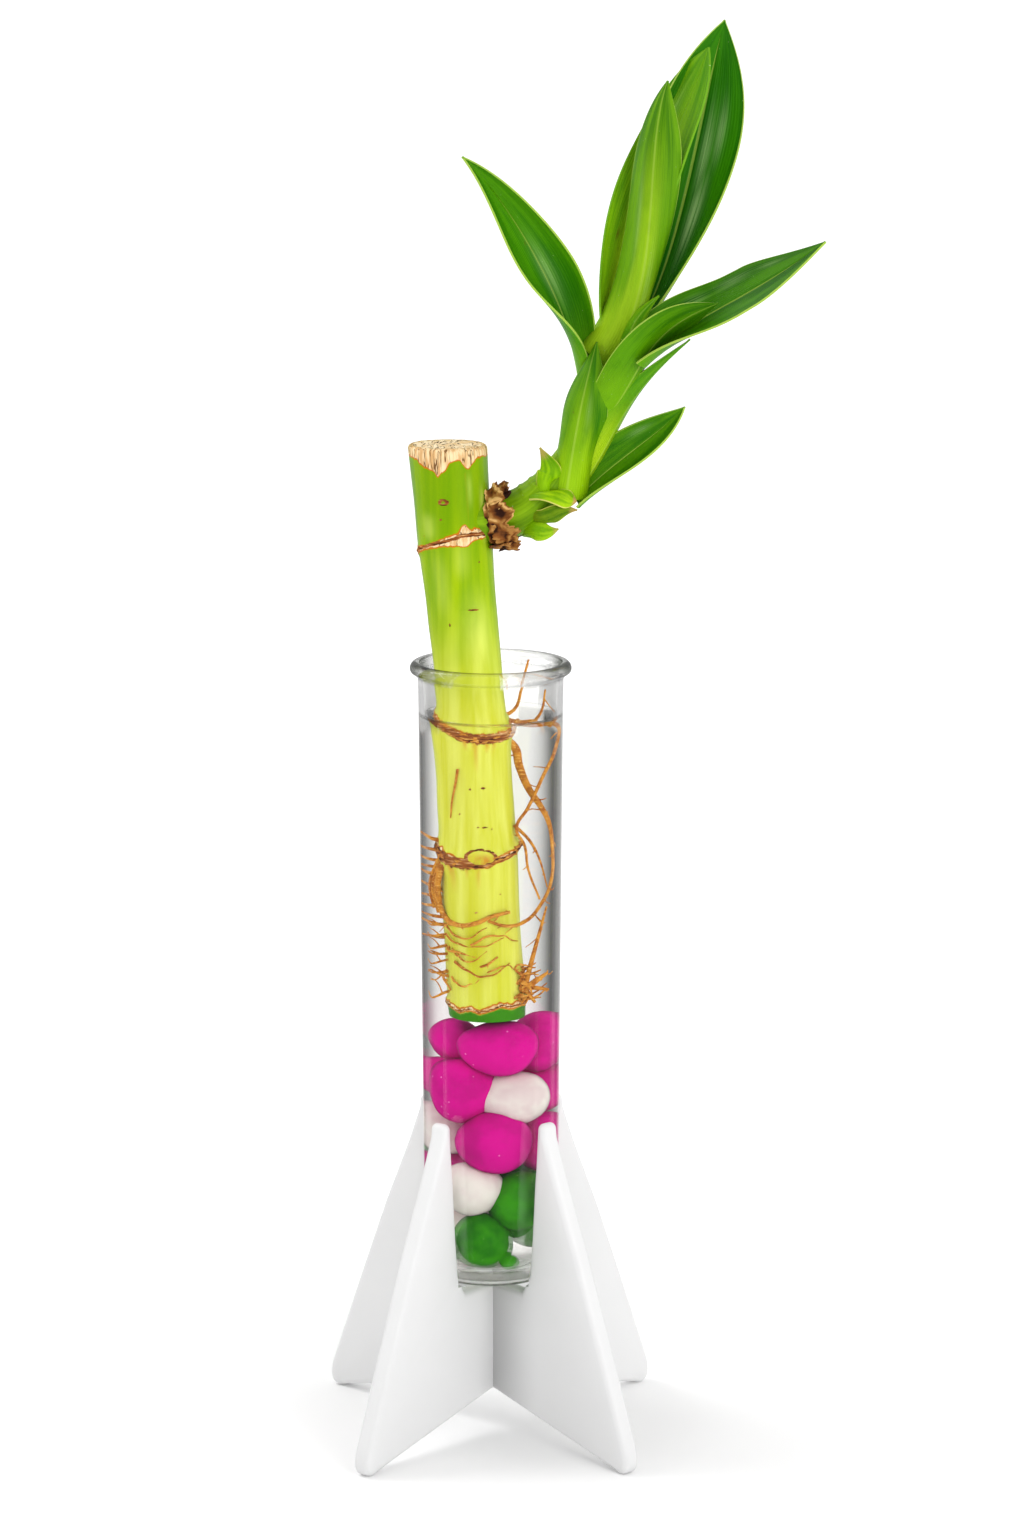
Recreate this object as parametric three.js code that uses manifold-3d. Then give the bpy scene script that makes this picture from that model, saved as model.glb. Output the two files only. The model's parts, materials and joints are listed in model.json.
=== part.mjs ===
// Lucky bamboo: a cut cane with one leafy side shoot, rooted among pebbles in a
// water-filled glass tube that rests in a white stand with four fins.
// Millimetres, +Z up. Until the last lines x = y = 0 is the tube's axis and z = 0 the floor.
import * as THREE from 'three';
import { mergeVertices } from 'three/addons/utils/BufferGeometryUtils.js';
import Module from 'manifold-3d';

const wasm = await Module();
wasm.setup();

// Driving dimensions
const CLEARANCE = 0.3;
const TUBE_RADIUS = 15.0;
const TUBE_TAPER = 0.0083;
const TUBE_TAPER_TOP = 162;
const TUBE_WALL = 1.1;
const TUBE_BOTTOM = 33.8;
const TUBE_BASE_THICKNESS = 2.8;
const TUBE_CORNER = 2.5;
const TUBE_SIDES = 28;
const LIP_RADIUS = 16.65;
const LIP_TOP = 163.9;
const WATER_LEVEL = 152.3;

const FIN_THICKNESS = 4.0;
const FIN_EDGE_ROUNDING = 0.8;
const FRONT_FIN_ANGLE = 39.1;
const REAR_FIN_ANGLE = 130.8;
const STAND_TURN = 1.5;
const STAND_SHIFT = 0.3;

const CANE_SIDES = 16;
const CANE_BOTTOM = 90.5;
const CANE_TOP = 208.7;
const ROOT_SIDES = 3;
const ROOT_STEP = 5.5;
const CANE_HOLE_ROOM = 1.1;
const LEAF_THICKNESS = 0.7;
const LEAF_ROWS = 8;
const SCALE_ROWS = 4;
const LEAF_COLUMNS = 6;

const GLASS = { color: 0xf2f6f4, roughness: 0.03, metalness: 0, transparent: true, opacity: 0.25 };
const WATER = { color: 0xeaf4f2, roughness: 0.02, metalness: 0, transparent: true, opacity: 0.35 };
const STAND_WHITE = { color: 0xf3f3f3, roughness: 0.45, metalness: 0 };
const CANE_GREEN = { color: 0xa8c832, roughness: 0.4, metalness: 0 };
const LEAF_GREEN = { color: 0x3f8f12, roughness: 0.38, metalness: 0 };
const LEAF_LIGHT = { color: 0x6fae16, roughness: 0.4, metalness: 0 };
const SHEATH_BROWN = { color: 0x8a5a2c, roughness: 0.85, metalness: 0 };
const PEBBLE_COLOURS = { magenta: 0xcc0096, white: 0xe8dede, green: 0x2e8a12 };

const group = new THREE.Group();
const v3 = (x, y, z) => new THREE.Vector3(x, y, z);
const degrees = THREE.MathUtils.degToRad;
const smooth = (t) => THREE.MathUtils.smoothstep(t, 0, 1);
const tubeRadiusAt = (z) => TUBE_RADIUS - TUBE_TAPER * (TUBE_TAPER_TOP - z);
const boreRadiusAt = (z) => tubeRadiusAt(z) - TUBE_WALL;

// Solids
function toSolid(geometry) {
  const bare = geometry.clone();
  bare.deleteAttribute('normal');
  bare.deleteAttribute('uv');
  const merged = mergeVertices(bare, 1e-4);
  return new wasm.Manifold(new wasm.Mesh({
    numProp: 3,
    vertProperties: new Float32Array(merged.attributes.position.array),
    triVerts: new Uint32Array(merged.index.array),
  }));
}

function toGeometry(solid) {
  const mesh = solid.getMesh();
  const geometry = new THREE.BufferGeometry();
  geometry.setAttribute('position', new THREE.BufferAttribute(mesh.vertProperties, 3));
  geometry.setIndex(new THREE.BufferAttribute(mesh.triVerts, 1));
  geometry.computeVertexNormals();
  return geometry;
}

function largestBody(solid) {
  return solid.decompose().reduce((best, body) => (body.volume() > best.volume() ? body : best));
}

function indexed(points, faces) {
  const geometry = new THREE.BufferGeometry();
  geometry.setFromPoints(points);
  geometry.setIndex(faces);
  return geometry;
}

function addPart(name, solid, material) {
  const mesh = new THREE.Mesh(toGeometry(solid), new THREE.MeshStandardMaterial(material));
  mesh.name = name;
  group.add(mesh);
  return solid;
}

// A closed solid through rings that turn left about the way they run; the ends are capped
function loft(rings) {
  const sides = rings[0].length;
  const faces = [];
  for (let i = 0; i < rings.length - 1; i += 1) {
    for (let j = 0; j < sides; j += 1) {
      const a = i * sides + j;
      const b = i * sides + ((j + 1) % sides);
      faces.push(a, b, b + sides, a, b + sides, a + sides);
    }
  }
  const last = (rings.length - 1) * sides;
  for (let j = 1; j < sides - 1; j += 1) {
    faces.push(0, j + 1, j);
    faces.push(last, last + j, last + j + 1);
  }
  return toSolid(indexed(rings.flat(), faces));
}

// A thin sheet with a front and a back face, each a grid of points of the same size
function slab(front, back) {
  const rows = front.length;
  const columns = front[0].length;
  const half = rows * columns;
  const faces = [];
  const quad = (a, b, c, d) => faces.push(a, b, c, a, c, d);
  const at = (i, j) => i * columns + j;
  for (let i = 0; i < rows - 1; i += 1) {
    for (let j = 0; j < columns - 1; j += 1) {
      const [a, b, c, d] = [at(i, j), at(i, j + 1), at(i + 1, j + 1), at(i + 1, j)];
      faces.push(a, b, c, a, c, d);
      faces.push(half + a, half + c, half + b, half + a, half + d, half + c);
    }
  }
  const right = columns - 1;
  const end = rows - 1;
  for (let i = 0; i < end; i += 1) {
    quad(at(i, 0), at(i + 1, 0), half + at(i + 1, 0), half + at(i, 0));
    quad(at(i, right), half + at(i, right), half + at(i + 1, right), at(i + 1, right));
  }
  for (let j = 0; j < right; j += 1) {
    quad(at(0, j), half + at(0, j), half + at(0, j + 1), at(0, j + 1));
    quad(at(end, j), at(end, j + 1), half + at(end, j + 1), half + at(end, j));
  }
  return toSolid(indexed([...front.flat(), ...back.flat()], faces));
}

// Round solid along a curve; radiusAt takes 0 at the start and 1 at the end
function tubeAlong(curve, steps, sides, radiusAt) {
  const frames = curve.computeFrenetFrames(steps, false);
  const rings = [];
  for (let i = 0; i <= steps; i += 1) {
    const u = i / steps;
    const centre = curve.getPointAt(u);
    const ring = [];
    for (let j = 0; j < sides; j += 1) {
      const turn = (j / sides) * Math.PI * 2;
      const out = frames.normals[i].clone().multiplyScalar(Math.cos(turn));
      out.addScaledVector(frames.binormals[i], Math.sin(turn));
      ring.push(centre.clone().addScaledVector(out, radiusAt(u)));
    }
    rings.push(ring);
  }
  return loft(rings);
}

// Linear steps between [position, value, ...] rows sorted by position
function profileAt(rows, position) {
  let i = 0;
  while (i < rows.length - 2 && position > rows[i + 1][0]) {
    i += 1;
  }
  const [low, high] = [rows[i], rows[i + 1]];
  const mix = THREE.MathUtils.clamp((position - low[0]) / (high[0] - low[0]), 0, 1);
  return low.map((value, k) => THREE.MathUtils.lerp(value, high[k], mix));
}

// Stand: four fins joined under the tube, each fin cut back to clear the tube
function finOutline() {
  const outline = new THREE.Shape();
  outline.moveTo(-1.5, 9.3);
  outline.lineTo(2.5, 9.3);
  outline.lineTo(38, 2.9);
  outline.quadraticCurveTo(39.6, 2.4, 40.6, 0.8);
  outline.lineTo(42.4, 0.8);
  outline.quadraticCurveTo(44.9, 1.6, 43.2, 5.4);
  outline.quadraticCurveTo(36.7, 22, 27.8, 44);
  outline.lineTo(21.4, 58.3);
  outline.lineTo(18.1, 66.2);
  outline.quadraticCurveTo(17.2, 70.4, 16.6, 66.6);
  outline.lineTo(16.2, 57.5);
  outline.lineTo(15.2, 44);
  outline.lineTo(14.4, 36);
  outline.lineTo(11.6, 31.9);
  outline.lineTo(-1.5, 31.9);
  return outline;
}

function buildStand() {
  const fin = new THREE.ExtrudeGeometry(finOutline(), {
    depth: FIN_THICKNESS - 2 * FIN_EDGE_ROUNDING,
    curveSegments: 4,
    bevelSize: FIN_EDGE_ROUNDING,
    bevelThickness: FIN_EDGE_ROUNDING,
    bevelSegments: 1,
  });
  fin.translate(0, 0, -(FIN_THICKNESS - 2 * FIN_EDGE_ROUNDING) / 2);
  fin.rotateX(Math.PI / 2);
  const angles = [FRONT_FIN_ANGLE, -FRONT_FIN_ANGLE, REAR_FIN_ANGLE, -REAR_FIN_ANGLE];
  return angles.reduce((stand, angle) => {
    const turned = toSolid(fin.clone().rotateZ(degrees(angle + STAND_TURN - 90)));
    return stand ? stand.add(turned) : turned;
  }, null).translate([STAND_SHIFT, 0, 0]);
}

// Glass tube with a rolled lip and a thick rounded base
function lathe(points, sides) {
  const geometry = new THREE.LatheGeometry(points.map(([r, z]) => new THREE.Vector2(r, z)), sides);
  return toSolid(geometry.rotateX(Math.PI / 2));
}

function tubeWallOutline() {
  const floor = TUBE_BOTTOM + TUBE_BASE_THICKNESS;
  const corner = [30, 60].map((angle) => [
    tubeRadiusAt(TUBE_BOTTOM) - TUBE_CORNER * (1 - Math.sin(degrees(angle))),
    TUBE_BOTTOM + TUBE_CORNER * (1 - Math.cos(degrees(angle))),
  ]);
  const bead = LIP_RADIUS - TUBE_RADIUS;
  const lip = [[0.06, -3.4], [0.8, -2.1], [1, -1.2], [0.8, -0.3], [0.36, 0]];
  const inside = [[-0.5, -0.25], [-0.9, -1.1], [-TUBE_WALL, -2.4]];
  return [
    [0, TUBE_BOTTOM],
    [tubeRadiusAt(TUBE_BOTTOM) - TUBE_CORNER, TUBE_BOTTOM],
    ...corner,
    [tubeRadiusAt(TUBE_BOTTOM + TUBE_CORNER), TUBE_BOTTOM + TUBE_CORNER],
    ...lip.map(([out, up]) => [TUBE_RADIUS + out * bead, LIP_TOP + up]),
    ...inside.map(([out, up]) => [TUBE_RADIUS + out, LIP_TOP + up]),
    [boreRadiusAt(floor + 2), floor + 2],
    [boreRadiusAt(floor) - 2, floor],
    [0, floor],
  ];
}

// Room inside the tube, a clearance away from the glass
function boreSolid(top, margin) {
  const floor = TUBE_BOTTOM + TUBE_BASE_THICKNESS + margin;
  return lathe([
    [0, floor],
    [boreRadiusAt(floor) - 2 - margin, floor],
    [boreRadiusAt(floor + 2) - margin, floor + 2],
    [boreRadiusAt(top) - margin, top],
    [0, top],
  ], TUBE_SIDES);
}

// Cane: centre line and radius by height, leaning to the front wall of the tube at its foot
const CANE_LINE = [
  [CANE_BOTTOM, -0.7, -5.4, 6.6],
  [100, -1.1, -5.5, 6.8],
  [115, -1.9, -5.5, 6.8],
  [126, -2.3, -5.2, 6.7],
  [140, -2.9, -4.5, 6.6],
  [152, -3.6, -3.7, 6.8],
  [166, -5.0, -2.5, 7.0],
  [188, -7.2, -0.6, 7.5],
  [CANE_TOP, -8.8, 0.6, 8.1],
];
const CANE_HEIGHTS = [CANE_BOTTOM, 91.3, 100, 115, 126, 140, 152, 166, 177, 188, 197, 207.6, CANE_TOP];
// Each ring is a leaf scar: height on the centre line, and the rise of its plane to +X and to +Y
const CANE_RINGS = [
  { height: 92.6, slopeX: 0.02, slopeY: 0.05, width: 0.65 },
  { height: 124.3, slopeX: 0.03, slopeY: 0.22, width: 0.75 },
  { height: 151.6, slopeX: -0.08, slopeY: 0.55, width: 0.8 },
  { height: 189.2, slopeX: 0.24, slopeY: -0.28, width: 0.6 },
];

function caneAt(z) {
  const [, x, y, radius] = profileAt(CANE_LINE, z);
  return { x, y, radius };
}

function caneTrunk(grow) {
  const rings = CANE_HEIGHTS.map((z, i) => {
    const cane = caneAt(z);
    const end = i === 0 || i === CANE_HEIGHTS.length - 1;
    const radius = cane.radius + grow - (end ? 0.5 : 0);
    const lift = i === 0 ? -grow : (i === CANE_HEIGHTS.length - 1 ? grow : 0);
    return Array.from({ length: CANE_SIDES }, (_, j) => {
      const turn = (j / CANE_SIDES) * Math.PI * 2;
      return v3(cane.x + radius * Math.cos(turn), cane.y + radius * Math.sin(turn), z + lift);
    });
  });
  return loft(rings);
}

function caneRing({ height, slopeX, slopeY, width }, grow) {
  const centre = caneAt(height);
  const geometry = new THREE.TorusGeometry(centre.radius, width + grow, 4, CANE_SIDES);
  const position = geometry.attributes.position;
  for (let i = 0; i < position.count; i += 1) {
    const [x, y] = [position.getX(i), position.getY(i)];
    const rise = slopeX * x + slopeY * y;
    const drift = caneAt(height + rise);
    position.setXYZ(i, x + drift.x, y + drift.y, height + rise + position.getZ(i));
  }
  return toSolid(geometry);
}

// Roots, from where they leave the cane to their tips: points, and radius at both ends
const ROOTS = [
  { from: 0.7, to: 0.5, way: [[1.5, -2, 149], [3.6, 0.5, 146.6], [4.4, 0, 142.6], [6.3, -2, 137.8],
    [8.8, -4, 134.4], [10.6, -4.5, 131], [11.5, -4.5, 126], [11.4, -4.9, 119], [9.6, -7, 114.6],
    [6.5, -10.4, 111.4], [3.1, -12, 110.9], [-0.5, -12.3, 112]] },
  { from: 0.55, to: 0.4, way: [[1, -1.5, 152.6], [6, 2, 150.8], [10, 2.4, 150.4], [10.8, 0, 146.4],
    [8.8, -4, 140.1], [6.6, -6.2, 134.6], [4.6, -7.2, 130.6], [6.2, -7.6, 127], [6.9, -7.6, 122],
    [9.2, -7.2, 115.5]] },
  { from: 0.45, to: 0.35, way: [[4.2, -6.8, 131.2], [6.7, -5.2, 127.8], [8.5, -5, 124.1],
    [10.2, -4.4, 117.5]] },
  { from: 0.55, to: 0.35, way: [[0, -1, 153], [4.8, 3, 153.2], [6.4, 3.2, 158.5], [7.8, 3.2, 163.6]] },
  { from: 0.5, to: 0.35, way: [[8.6, 2.5, 150.3], [10.6, 2.2, 153.2], [11.3, 2.2, 158]] },
  { from: 0.8, to: 0.6, way: [[-7.6, -6, 124], [-9.5, -7, 121.4], [-9.7, -6.4, 115.4], [-8.6, -7.6, 111.9],
    [-6.3, -10.2, 110.8], [-2.9, -12.2, 111.5], [0.3, -12.4, 113], [3.7, -11.2, 113.7]] },
  { from: 0.45, to: 0.35, way: [[-6.5, -7.5, 106], [-8.2, -8.4, 105.3], [-6.1, -10.6, 105],
    [-3, -12.1, 104.3]] },
  { from: 0.4, to: 0.35, way: [[-3.9, -10.8, 102.2], [-1.2, -12.4, 102.6], [1.4, -12, 104.4]] },
  { from: 0.9, to: 0.5, way: [[4.2, -7, 96.6], [6.9, -8.2, 97.4], [9.4, -7.6, 98.9], [10.9, -6.2, 99.7]] },
  { from: 0.6, to: 0.4, way: [[6.2, -7.9, 97.2], [9.3, -6.9, 96.6], [11.1, -5.8, 96]] },
  { from: 0.6, to: 0.4, way: [[6.4, -8, 97.6], [8, -7.7, 104], [9.6, -7, 110], [10.6, -6.4, 113.8]] },
  { from: 0.6, to: 0.4, way: [[6.2, -8, 97], [8.4, -7.8, 93.8]] },
  { from: 0.55, to: 0.4, way: [[-5, -6, 100], [-8.6, -6.2, 99.8], [-7.6, -8.4, 96.6]] },
];
const COMB_ROOTS = { count: 6, top: 128.2, step: 5.0, reach: 3.4, drop: 1.1, from: 0.5, to: 0.4 };

function rootSolid({ from, to, way }, grow) {
  const points = way.map(([x, y, z]) => v3(x, y, z));
  const last = points[points.length - 1];
  const before = points[points.length - 2];
  last.addScaledVector(last.clone().sub(before).normalize(), grow);
  const curve = new THREE.CatmullRomCurve3(points, false, 'centripetal');
  const steps = Math.max(2, Math.round(curve.getLength() / ROOT_STEP));
  return tubeAlong(curve, steps, ROOT_SIDES, (u) => THREE.MathUtils.lerp(from, to, u) + grow);
}

// Short roots side by side on the cane's left, reaching for the glass
function combRoots() {
  const { count, top, step, reach, drop, from, to } = COMB_ROOTS;
  return Array.from({ length: count }, (_, i) => {
    const z = top - step * i;
    const cane = caneAt(z);
    const start = cane.x - cane.radius;
    const way = [
      [start + 1.5, -5.4, z],
      [start - reach / 2, -4.9, z - 0.3],
      [start - reach, -3.4, z - drop],
    ];
    return { from, to, way };
  });
}

const allRoots = () => [...ROOTS, ...combRoots()];

// Side shoot: it leaves the cane at the upper ring and bends up into the leaves
const SHOOT_LINE = [
  [-4, -1.5, 193.2], [1.5, -1.2, 193.8], [6.2, -1.3, 195.4], [11, -1.6, 199.3],
  [15.5, -2.2, 205.5], [19.5, -2.4, 213], [23, -1.5, 221.5], [25.6, 0, 229],
];
const SHOOT_RADII = [
  [0, 5.0], [0.15, 4.9], [0.28, 4.4], [0.4, 3.6], [0.55, 2.8], [0.7, 2.2], [0.85, 1.7], [1, 1.2],
];
const SHOOT_SIDES = 10;
const SHOOT_STEPS = 9;

function shootStem(grow) {
  const points = SHOOT_LINE.map(([x, y, z]) => v3(x, y, z));
  const curve = new THREE.CatmullRomCurve3(points, false, 'centripetal');
  return tubeAlong(curve, SHOOT_STEPS, SHOOT_SIDES, (u) => profileAt(SHOOT_RADII, u)[1] + grow);
}

function buildCane(grow) {
  const pieces = [
    ...CANE_RINGS.map((ring) => caneRing(ring, grow)),
    ...allRoots().map((root) => rootSolid(root, grow)),
    shootStem(grow),
  ];
  return pieces.reduce((cane, piece) => cane.add(piece), caneTrunk(grow));
}

// Leaves. Each has a midrib through four points from base to tip; half-widths in mm along the
// blade (base, widest, where that is, tip sharpness); the way its inner face looks at base and
// tip, as an angle from the front towards +X and an angle up; and how far its section turns, in
// degrees, at base and tip, with the fold at the midrib last.
const LEAVES = {
  leaf_front: { rib: [[15.3, -5.5, 198.3], [17.2, -7, 210.7], [19.2, -7, 220.5], [21.6, -4.5, 230.1]],
    width: [7.9, 6.1, 0.36, 1.1], looks: [[173, -4], [145, -6]], turn: [236, 76, 0.83, 0] },
  leaf_right_middle: { rib: [[16.6, -2, 197.6], [24, -4.5, 210.2], [29.4, -5.5, 219.5], [40.4, -4, 230.6]],
    width: [4.9, 5, 0.28, 1.1], looks: [[211, 38], [229, 43]], turn: [209, 89, 0.8, 5.5] },
  leaf_right_sheath: { start: 0.08,
    rib: [[22, -5.5, 213.1], [28.7, -8, 223.5], [34.3, -9.5, 231.8], [45.8, -9, 238.4]],
    width: [5.7, 6.8, 0.4, 1.4], looks: [[211, 43], [242, -9]], turn: [188, 34, 0.88, 0] },
  leaf_inner_sheath: { rib: [[22.9, -4, 221.5], [27.7, -5, 227.5], [28.5, -5, 232.4], [34.1, -3.5, 239.3]],
    width: [4.4, 5, 0.24, 1], looks: [[169, 23], [144, 18]], turn: [181, 103, 0.95, 1.6] },
  leaf_top_front: { rib: [[23.2, -3, 225.1], [30.7, -3.5, 243.6], [32.9, -2, 264.4], [35.8, 0.5, 282.2]],
    width: [7.6, 5.9, 0.61, 1.2], looks: [[208, 14], [149, 5]], turn: [219, 81, 0.97, 0] },
  leaf_left: { rib: [[18.2, 0.5, 218.6], [14.8, -2, 234.6], [5.8, -6, 253], [-5.6, -8, 267.6]],
    width: [2, 7.7, 0.49, 0.8], looks: [[86, -48], [-35, 47]], turn: [197, 90, 0.66, 19] },
  leaf_right_upper: { start: 0.22,
    rib: [[22.7, -3.5, 214.5], [35.3, -6, 229.9], [48.6, -7.5, 238.4], [67.3, -9, 250.7]],
    width: [6.4, 8.8, 0.75, 0.84], looks: [[-35, 47], [-33, 66]], turn: [215, 7, 0.69, 7] },
  leaf_right_lower: { start: 0.1,
    rib: [[15.5, -1.5, 194.8], [23.2, -3, 203.1], [32.1, -4.5, 210.4], [39.4, -5, 217]],
    width: [4.7, 5.7, 0.34, 1.1], looks: [[-24, 35], [-3, 28]], turn: [158, 69, 0.93, 5] },
  leaf_top_middle: { rib: [[26.1, 0.5, 229], [27, 3, 245.1], [36.2, 5, 268.3], [44.1, 4.5, 288.7]],
    width: [4.1, 7.5, 0.68, 1.6], looks: [[15, -9], [-60, 10]], turn: [171, 33, 1, 2] },
  leaf_top_back: { rib: [[26.5, 2.5, 228.9], [35.7, 6, 244.8], [42.2, 9, 270.4], [47.4, 8, 294]],
    width: [4, 9.5, 0.58, 1.3], looks: [[-42, 2], [9, 19]], turn: [157, 30, 0.82, 7] },
};
const SCALES = {
  scale_top: { rib: [[11.7, -5.5, 198.3], [11.6, -6.2, 202.4], [12, -6.2, 204.2], [10.1, -4.5, 208.6]],
    width: [2, 2.7, 0.52, 1.2], looks: [[201, -4], [168, -2]], turn: [178, 58, 0.77, 6] },
  scale_collar: { rib: [[8.7, -4.5, 199.1], [12.5, -7, 199.6], [15.2, -7.2, 198.7], [17.4, -6, 197.9]],
    width: [2, 2.1, 0.65, 1.3], looks: [[225, -52], [182, -9]], turn: [131, 64, 0.9, 2] },
  scale_middle: { rib: [[7.1, -3.5, 194.6], [10.8, -6.2, 194.2], [13.6, -6.8, 195.5], [17.6, -5.6, 196]],
    width: [2, 2.1, 0.4, 1.2], looks: [[191, 32], [180, 3]], turn: [151, 62, 0.8, 0] },
  scale_bottom: { rib: [[5.7, -2.5, 192], [8.8, -5.2, 192], [11, -5.4, 191.5], [13.8, -4.2, 191.9]],
    width: [2.8, 2.4, 0.37, 1.2], looks: [[178, -3], [179, 1]], turn: [150, 62, 0.8, 0] },
};

function direction([aside, up]) {
  const flat = Math.cos(degrees(up));
  return v3(Math.sin(degrees(aside)) * flat, -Math.cos(degrees(aside)) * flat, Math.sin(degrees(up)));
}

// The cubic curve that passes through four points, a third of its parameter apart
function ribCurve(points) {
  const [a, b, c, d] = points.map(([x, y, z]) => v3(x, y, z));
  const mix = (p, q, r, s) => v3(0, 0, 0)
    .addScaledVector(a, p).addScaledVector(b, q).addScaledVector(c, r).addScaledVector(d, s);
  return new THREE.CubicBezierCurve3(a, mix(-5 / 6, 3, -1.5, 1 / 3), mix(1 / 3, -1.5, 3, -5 / 6), d);
}

function halfWidth([base, widest, place, sharpness], t) {
  if (t < place) {
    return base + (widest - base) * Math.sin((Math.PI / 2) * (t / place)) ** 1.3;
  }
  return widest * Math.cos((Math.PI / 2) * ((t - place) / (1 - place)) ** sharpness);
}

// One row of a leaf: points across the blade, with the normal of the inner face at each
function leafRow(leaf, t, grow) {
  const curve = ribCurve(leaf.rib);
  const along = curve.getTangent(t);
  const inward = direction(leaf.looks[0]).lerp(direction(leaf.looks[1]), smooth(t)).normalize();
  inward.addScaledVector(along, -inward.dot(along)).normalize();
  const across = along.clone().cross(inward);
  const half = Math.max(halfWidth(leaf.width, t), 0.35);
  const [baseTurn, tipTurn, turnEnd, fold] = leaf.turn;
  const bend = degrees(THREE.MathUtils.lerp(baseTurn, tipTurn, smooth(t / turnEnd))) / 2 / half;
  const centre = curve.getPoint(t);
  return Array.from({ length: LEAF_COLUMNS + 1 }, (_, j) => {
    const place = (j / LEAF_COLUMNS) * 2 - 1;
    const side = Math.sign(place);
    const from = degrees(fold);
    const angle = from + bend * Math.abs(place) * (half + grow);
    const out = (Math.sin(angle) - Math.sin(from)) / bend;
    const up = (Math.cos(from) - Math.cos(angle)) / bend;
    const point = centre.clone().addScaledVector(across, side * out).addScaledVector(inward, up);
    const lean = side === 0 ? 0 : angle;
    const normal = inward.clone().multiplyScalar(Math.cos(lean));
    normal.addScaledVector(across, -side * Math.sin(lean));
    return { point, normal, along };
  });
}

function leafSolid(leaf, steps, grow) {
  const start = leaf.start ?? 0;
  const rows = Array.from({ length: steps + 1 }, (_, i) => {
    const push = i === 0 ? -grow : (i === steps ? grow : 0);
    return leafRow(leaf, start + (1 - start) * (i / steps), grow).map(({ point, normal, along }) => {
      const moved = point.clone().addScaledVector(along, push);
      const depth = LEAF_THICKNESS / 2 + grow;
      return [moved.clone().addScaledVector(normal, depth), moved.clone().addScaledVector(normal, -depth)];
    });
  });
  const face = (which) => rows.map((row) => row.map((pair) => pair[which]));
  return slab(face(0), face(1));
}

// Dry sheath: a torn papery cuff round the root of the shoot
const CUFF = {
  from: [1.8, -1.3, 193.9], to: [7.0, -1.3, 196.4], inner: 5.5, outer: 6.6, sides: 14, rows: 2,
};

function drySheath() {
  const { from, to, inner, outer, sides, rows } = CUFF;
  const start = v3(...from);
  const axis = v3(...to).sub(start);
  const reach = axis.length();
  axis.normalize();
  const up = v3(0, 0, 1).addScaledVector(axis, -axis.z).normalize();
  const side = axis.clone().cross(up);
  const rim = (radius, turn, along) => start.clone()
    .addScaledVector(up, radius * Math.cos(turn))
    .addScaledVector(side, radius * Math.sin(turn))
    .addScaledVector(axis, along);
  const wall = (base, shrink) => {
    const rings = [];
    for (let i = 0; i <= rows; i += 1) {
      const u = i / rows;
      rings.push(Array.from({ length: sides }, (_, j) => {
        const turn = (j / sides) * Math.PI * 2;
        const torn = i === rows ? 0.9 * Math.sin(turn * 5 + 1) + 0.6 * Math.sin(turn * 9) : 0;
        const crumple = 0.25 * Math.sin(turn * 7 + u * 4);
        return rim(base - shrink * u + crumple, turn, -0.6 + u * (reach + 0.6) + torn);
      }));
    }
    return rings;
  };
  const bore = wall(inner, 0.7).map((ring, i) => ring.map((point) => (
    point.clone().addScaledVector(axis, i === 0 ? -1 : (i === rows ? 1 : 0)))));
  return loft(wall(outer, 0.9)).subtract(loft(bore));
}

// Pebbles: place, size (half axes), turn about the upright, colour; the last ones fill the back
const PEBBLES = [
  { at: [1.2, -7.0, 84.0], size: [7.6, 5.2, 5.8], turn: 0, colour: 'magenta' },
  { at: [-7.2, 2.8, 84.4], size: [5.2, 6.0, 4.9], turn: 20, colour: 'magenta' },
  { at: [7.4, 3.2, 83.6], size: [5.0, 7.0, 5.9], turn: 15, colour: 'magenta' },
  { at: [-6.4, -6.2, 74.4], size: [6.0, 5.6, 6.6], turn: 25, colour: 'magenta' },
  { at: [6.3, -6.4, 73.3], size: [6.1, 5.6, 5.7], turn: -20, colour: 'white' },
  { at: [-6.2, 6.0, 75.4], size: [6.4, 6.0, 4.9], turn: -35, colour: 'magenta' },
  { at: [6.0, 5.6, 72.6], size: [6.4, 6.0, 5.4], turn: 25, colour: 'magenta' },
  { at: [0.4, -7.2, 63.9], size: [7.1, 5.3, 6.8], turn: 0, colour: 'magenta' },
  { at: [8.0, 0.4, 61.8], size: [4.7, 6.6, 5.6], turn: 10, colour: 'magenta' },
  { at: [-6.4, 4.6, 64.6], size: [6.6, 7.4, 5.6], turn: -30, colour: 'white' },
  { at: [-3.6, -6.6, 53.6], size: [5.6, 5.6, 5.6], turn: 10, colour: 'white' },
  { at: [6.4, -5.0, 51.0], size: [4.5, 6.0, 6.2], turn: -15, colour: 'green' },
  { at: [-5.8, 5.6, 54.0], size: [6.4, 6.2, 5.4], turn: -30, colour: 'magenta' },
  { at: [5.6, 6.4, 54.6], size: [6.6, 6.0, 5.6], turn: 30, colour: 'green' },
  { at: [-1.8, -6.2, 42.2], size: [5.7, 5.8, 5.5], turn: 0, colour: 'green' },
  { at: [3.6, -8.6, 38.5], size: [2.1, 2.1, 1.7], turn: 0, colour: 'green' },
  { at: [7.0, 2.4, 42.6], size: [4.8, 6.6, 5.4], turn: 25, colour: 'green' },
  { at: [-4.6, 6.2, 42.8], size: [6.8, 5.6, 5.4], turn: -25, colour: 'white' },
];
const PEBBLE_AROUND = 9;
const PEBBLE_UP = 6;

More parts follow.
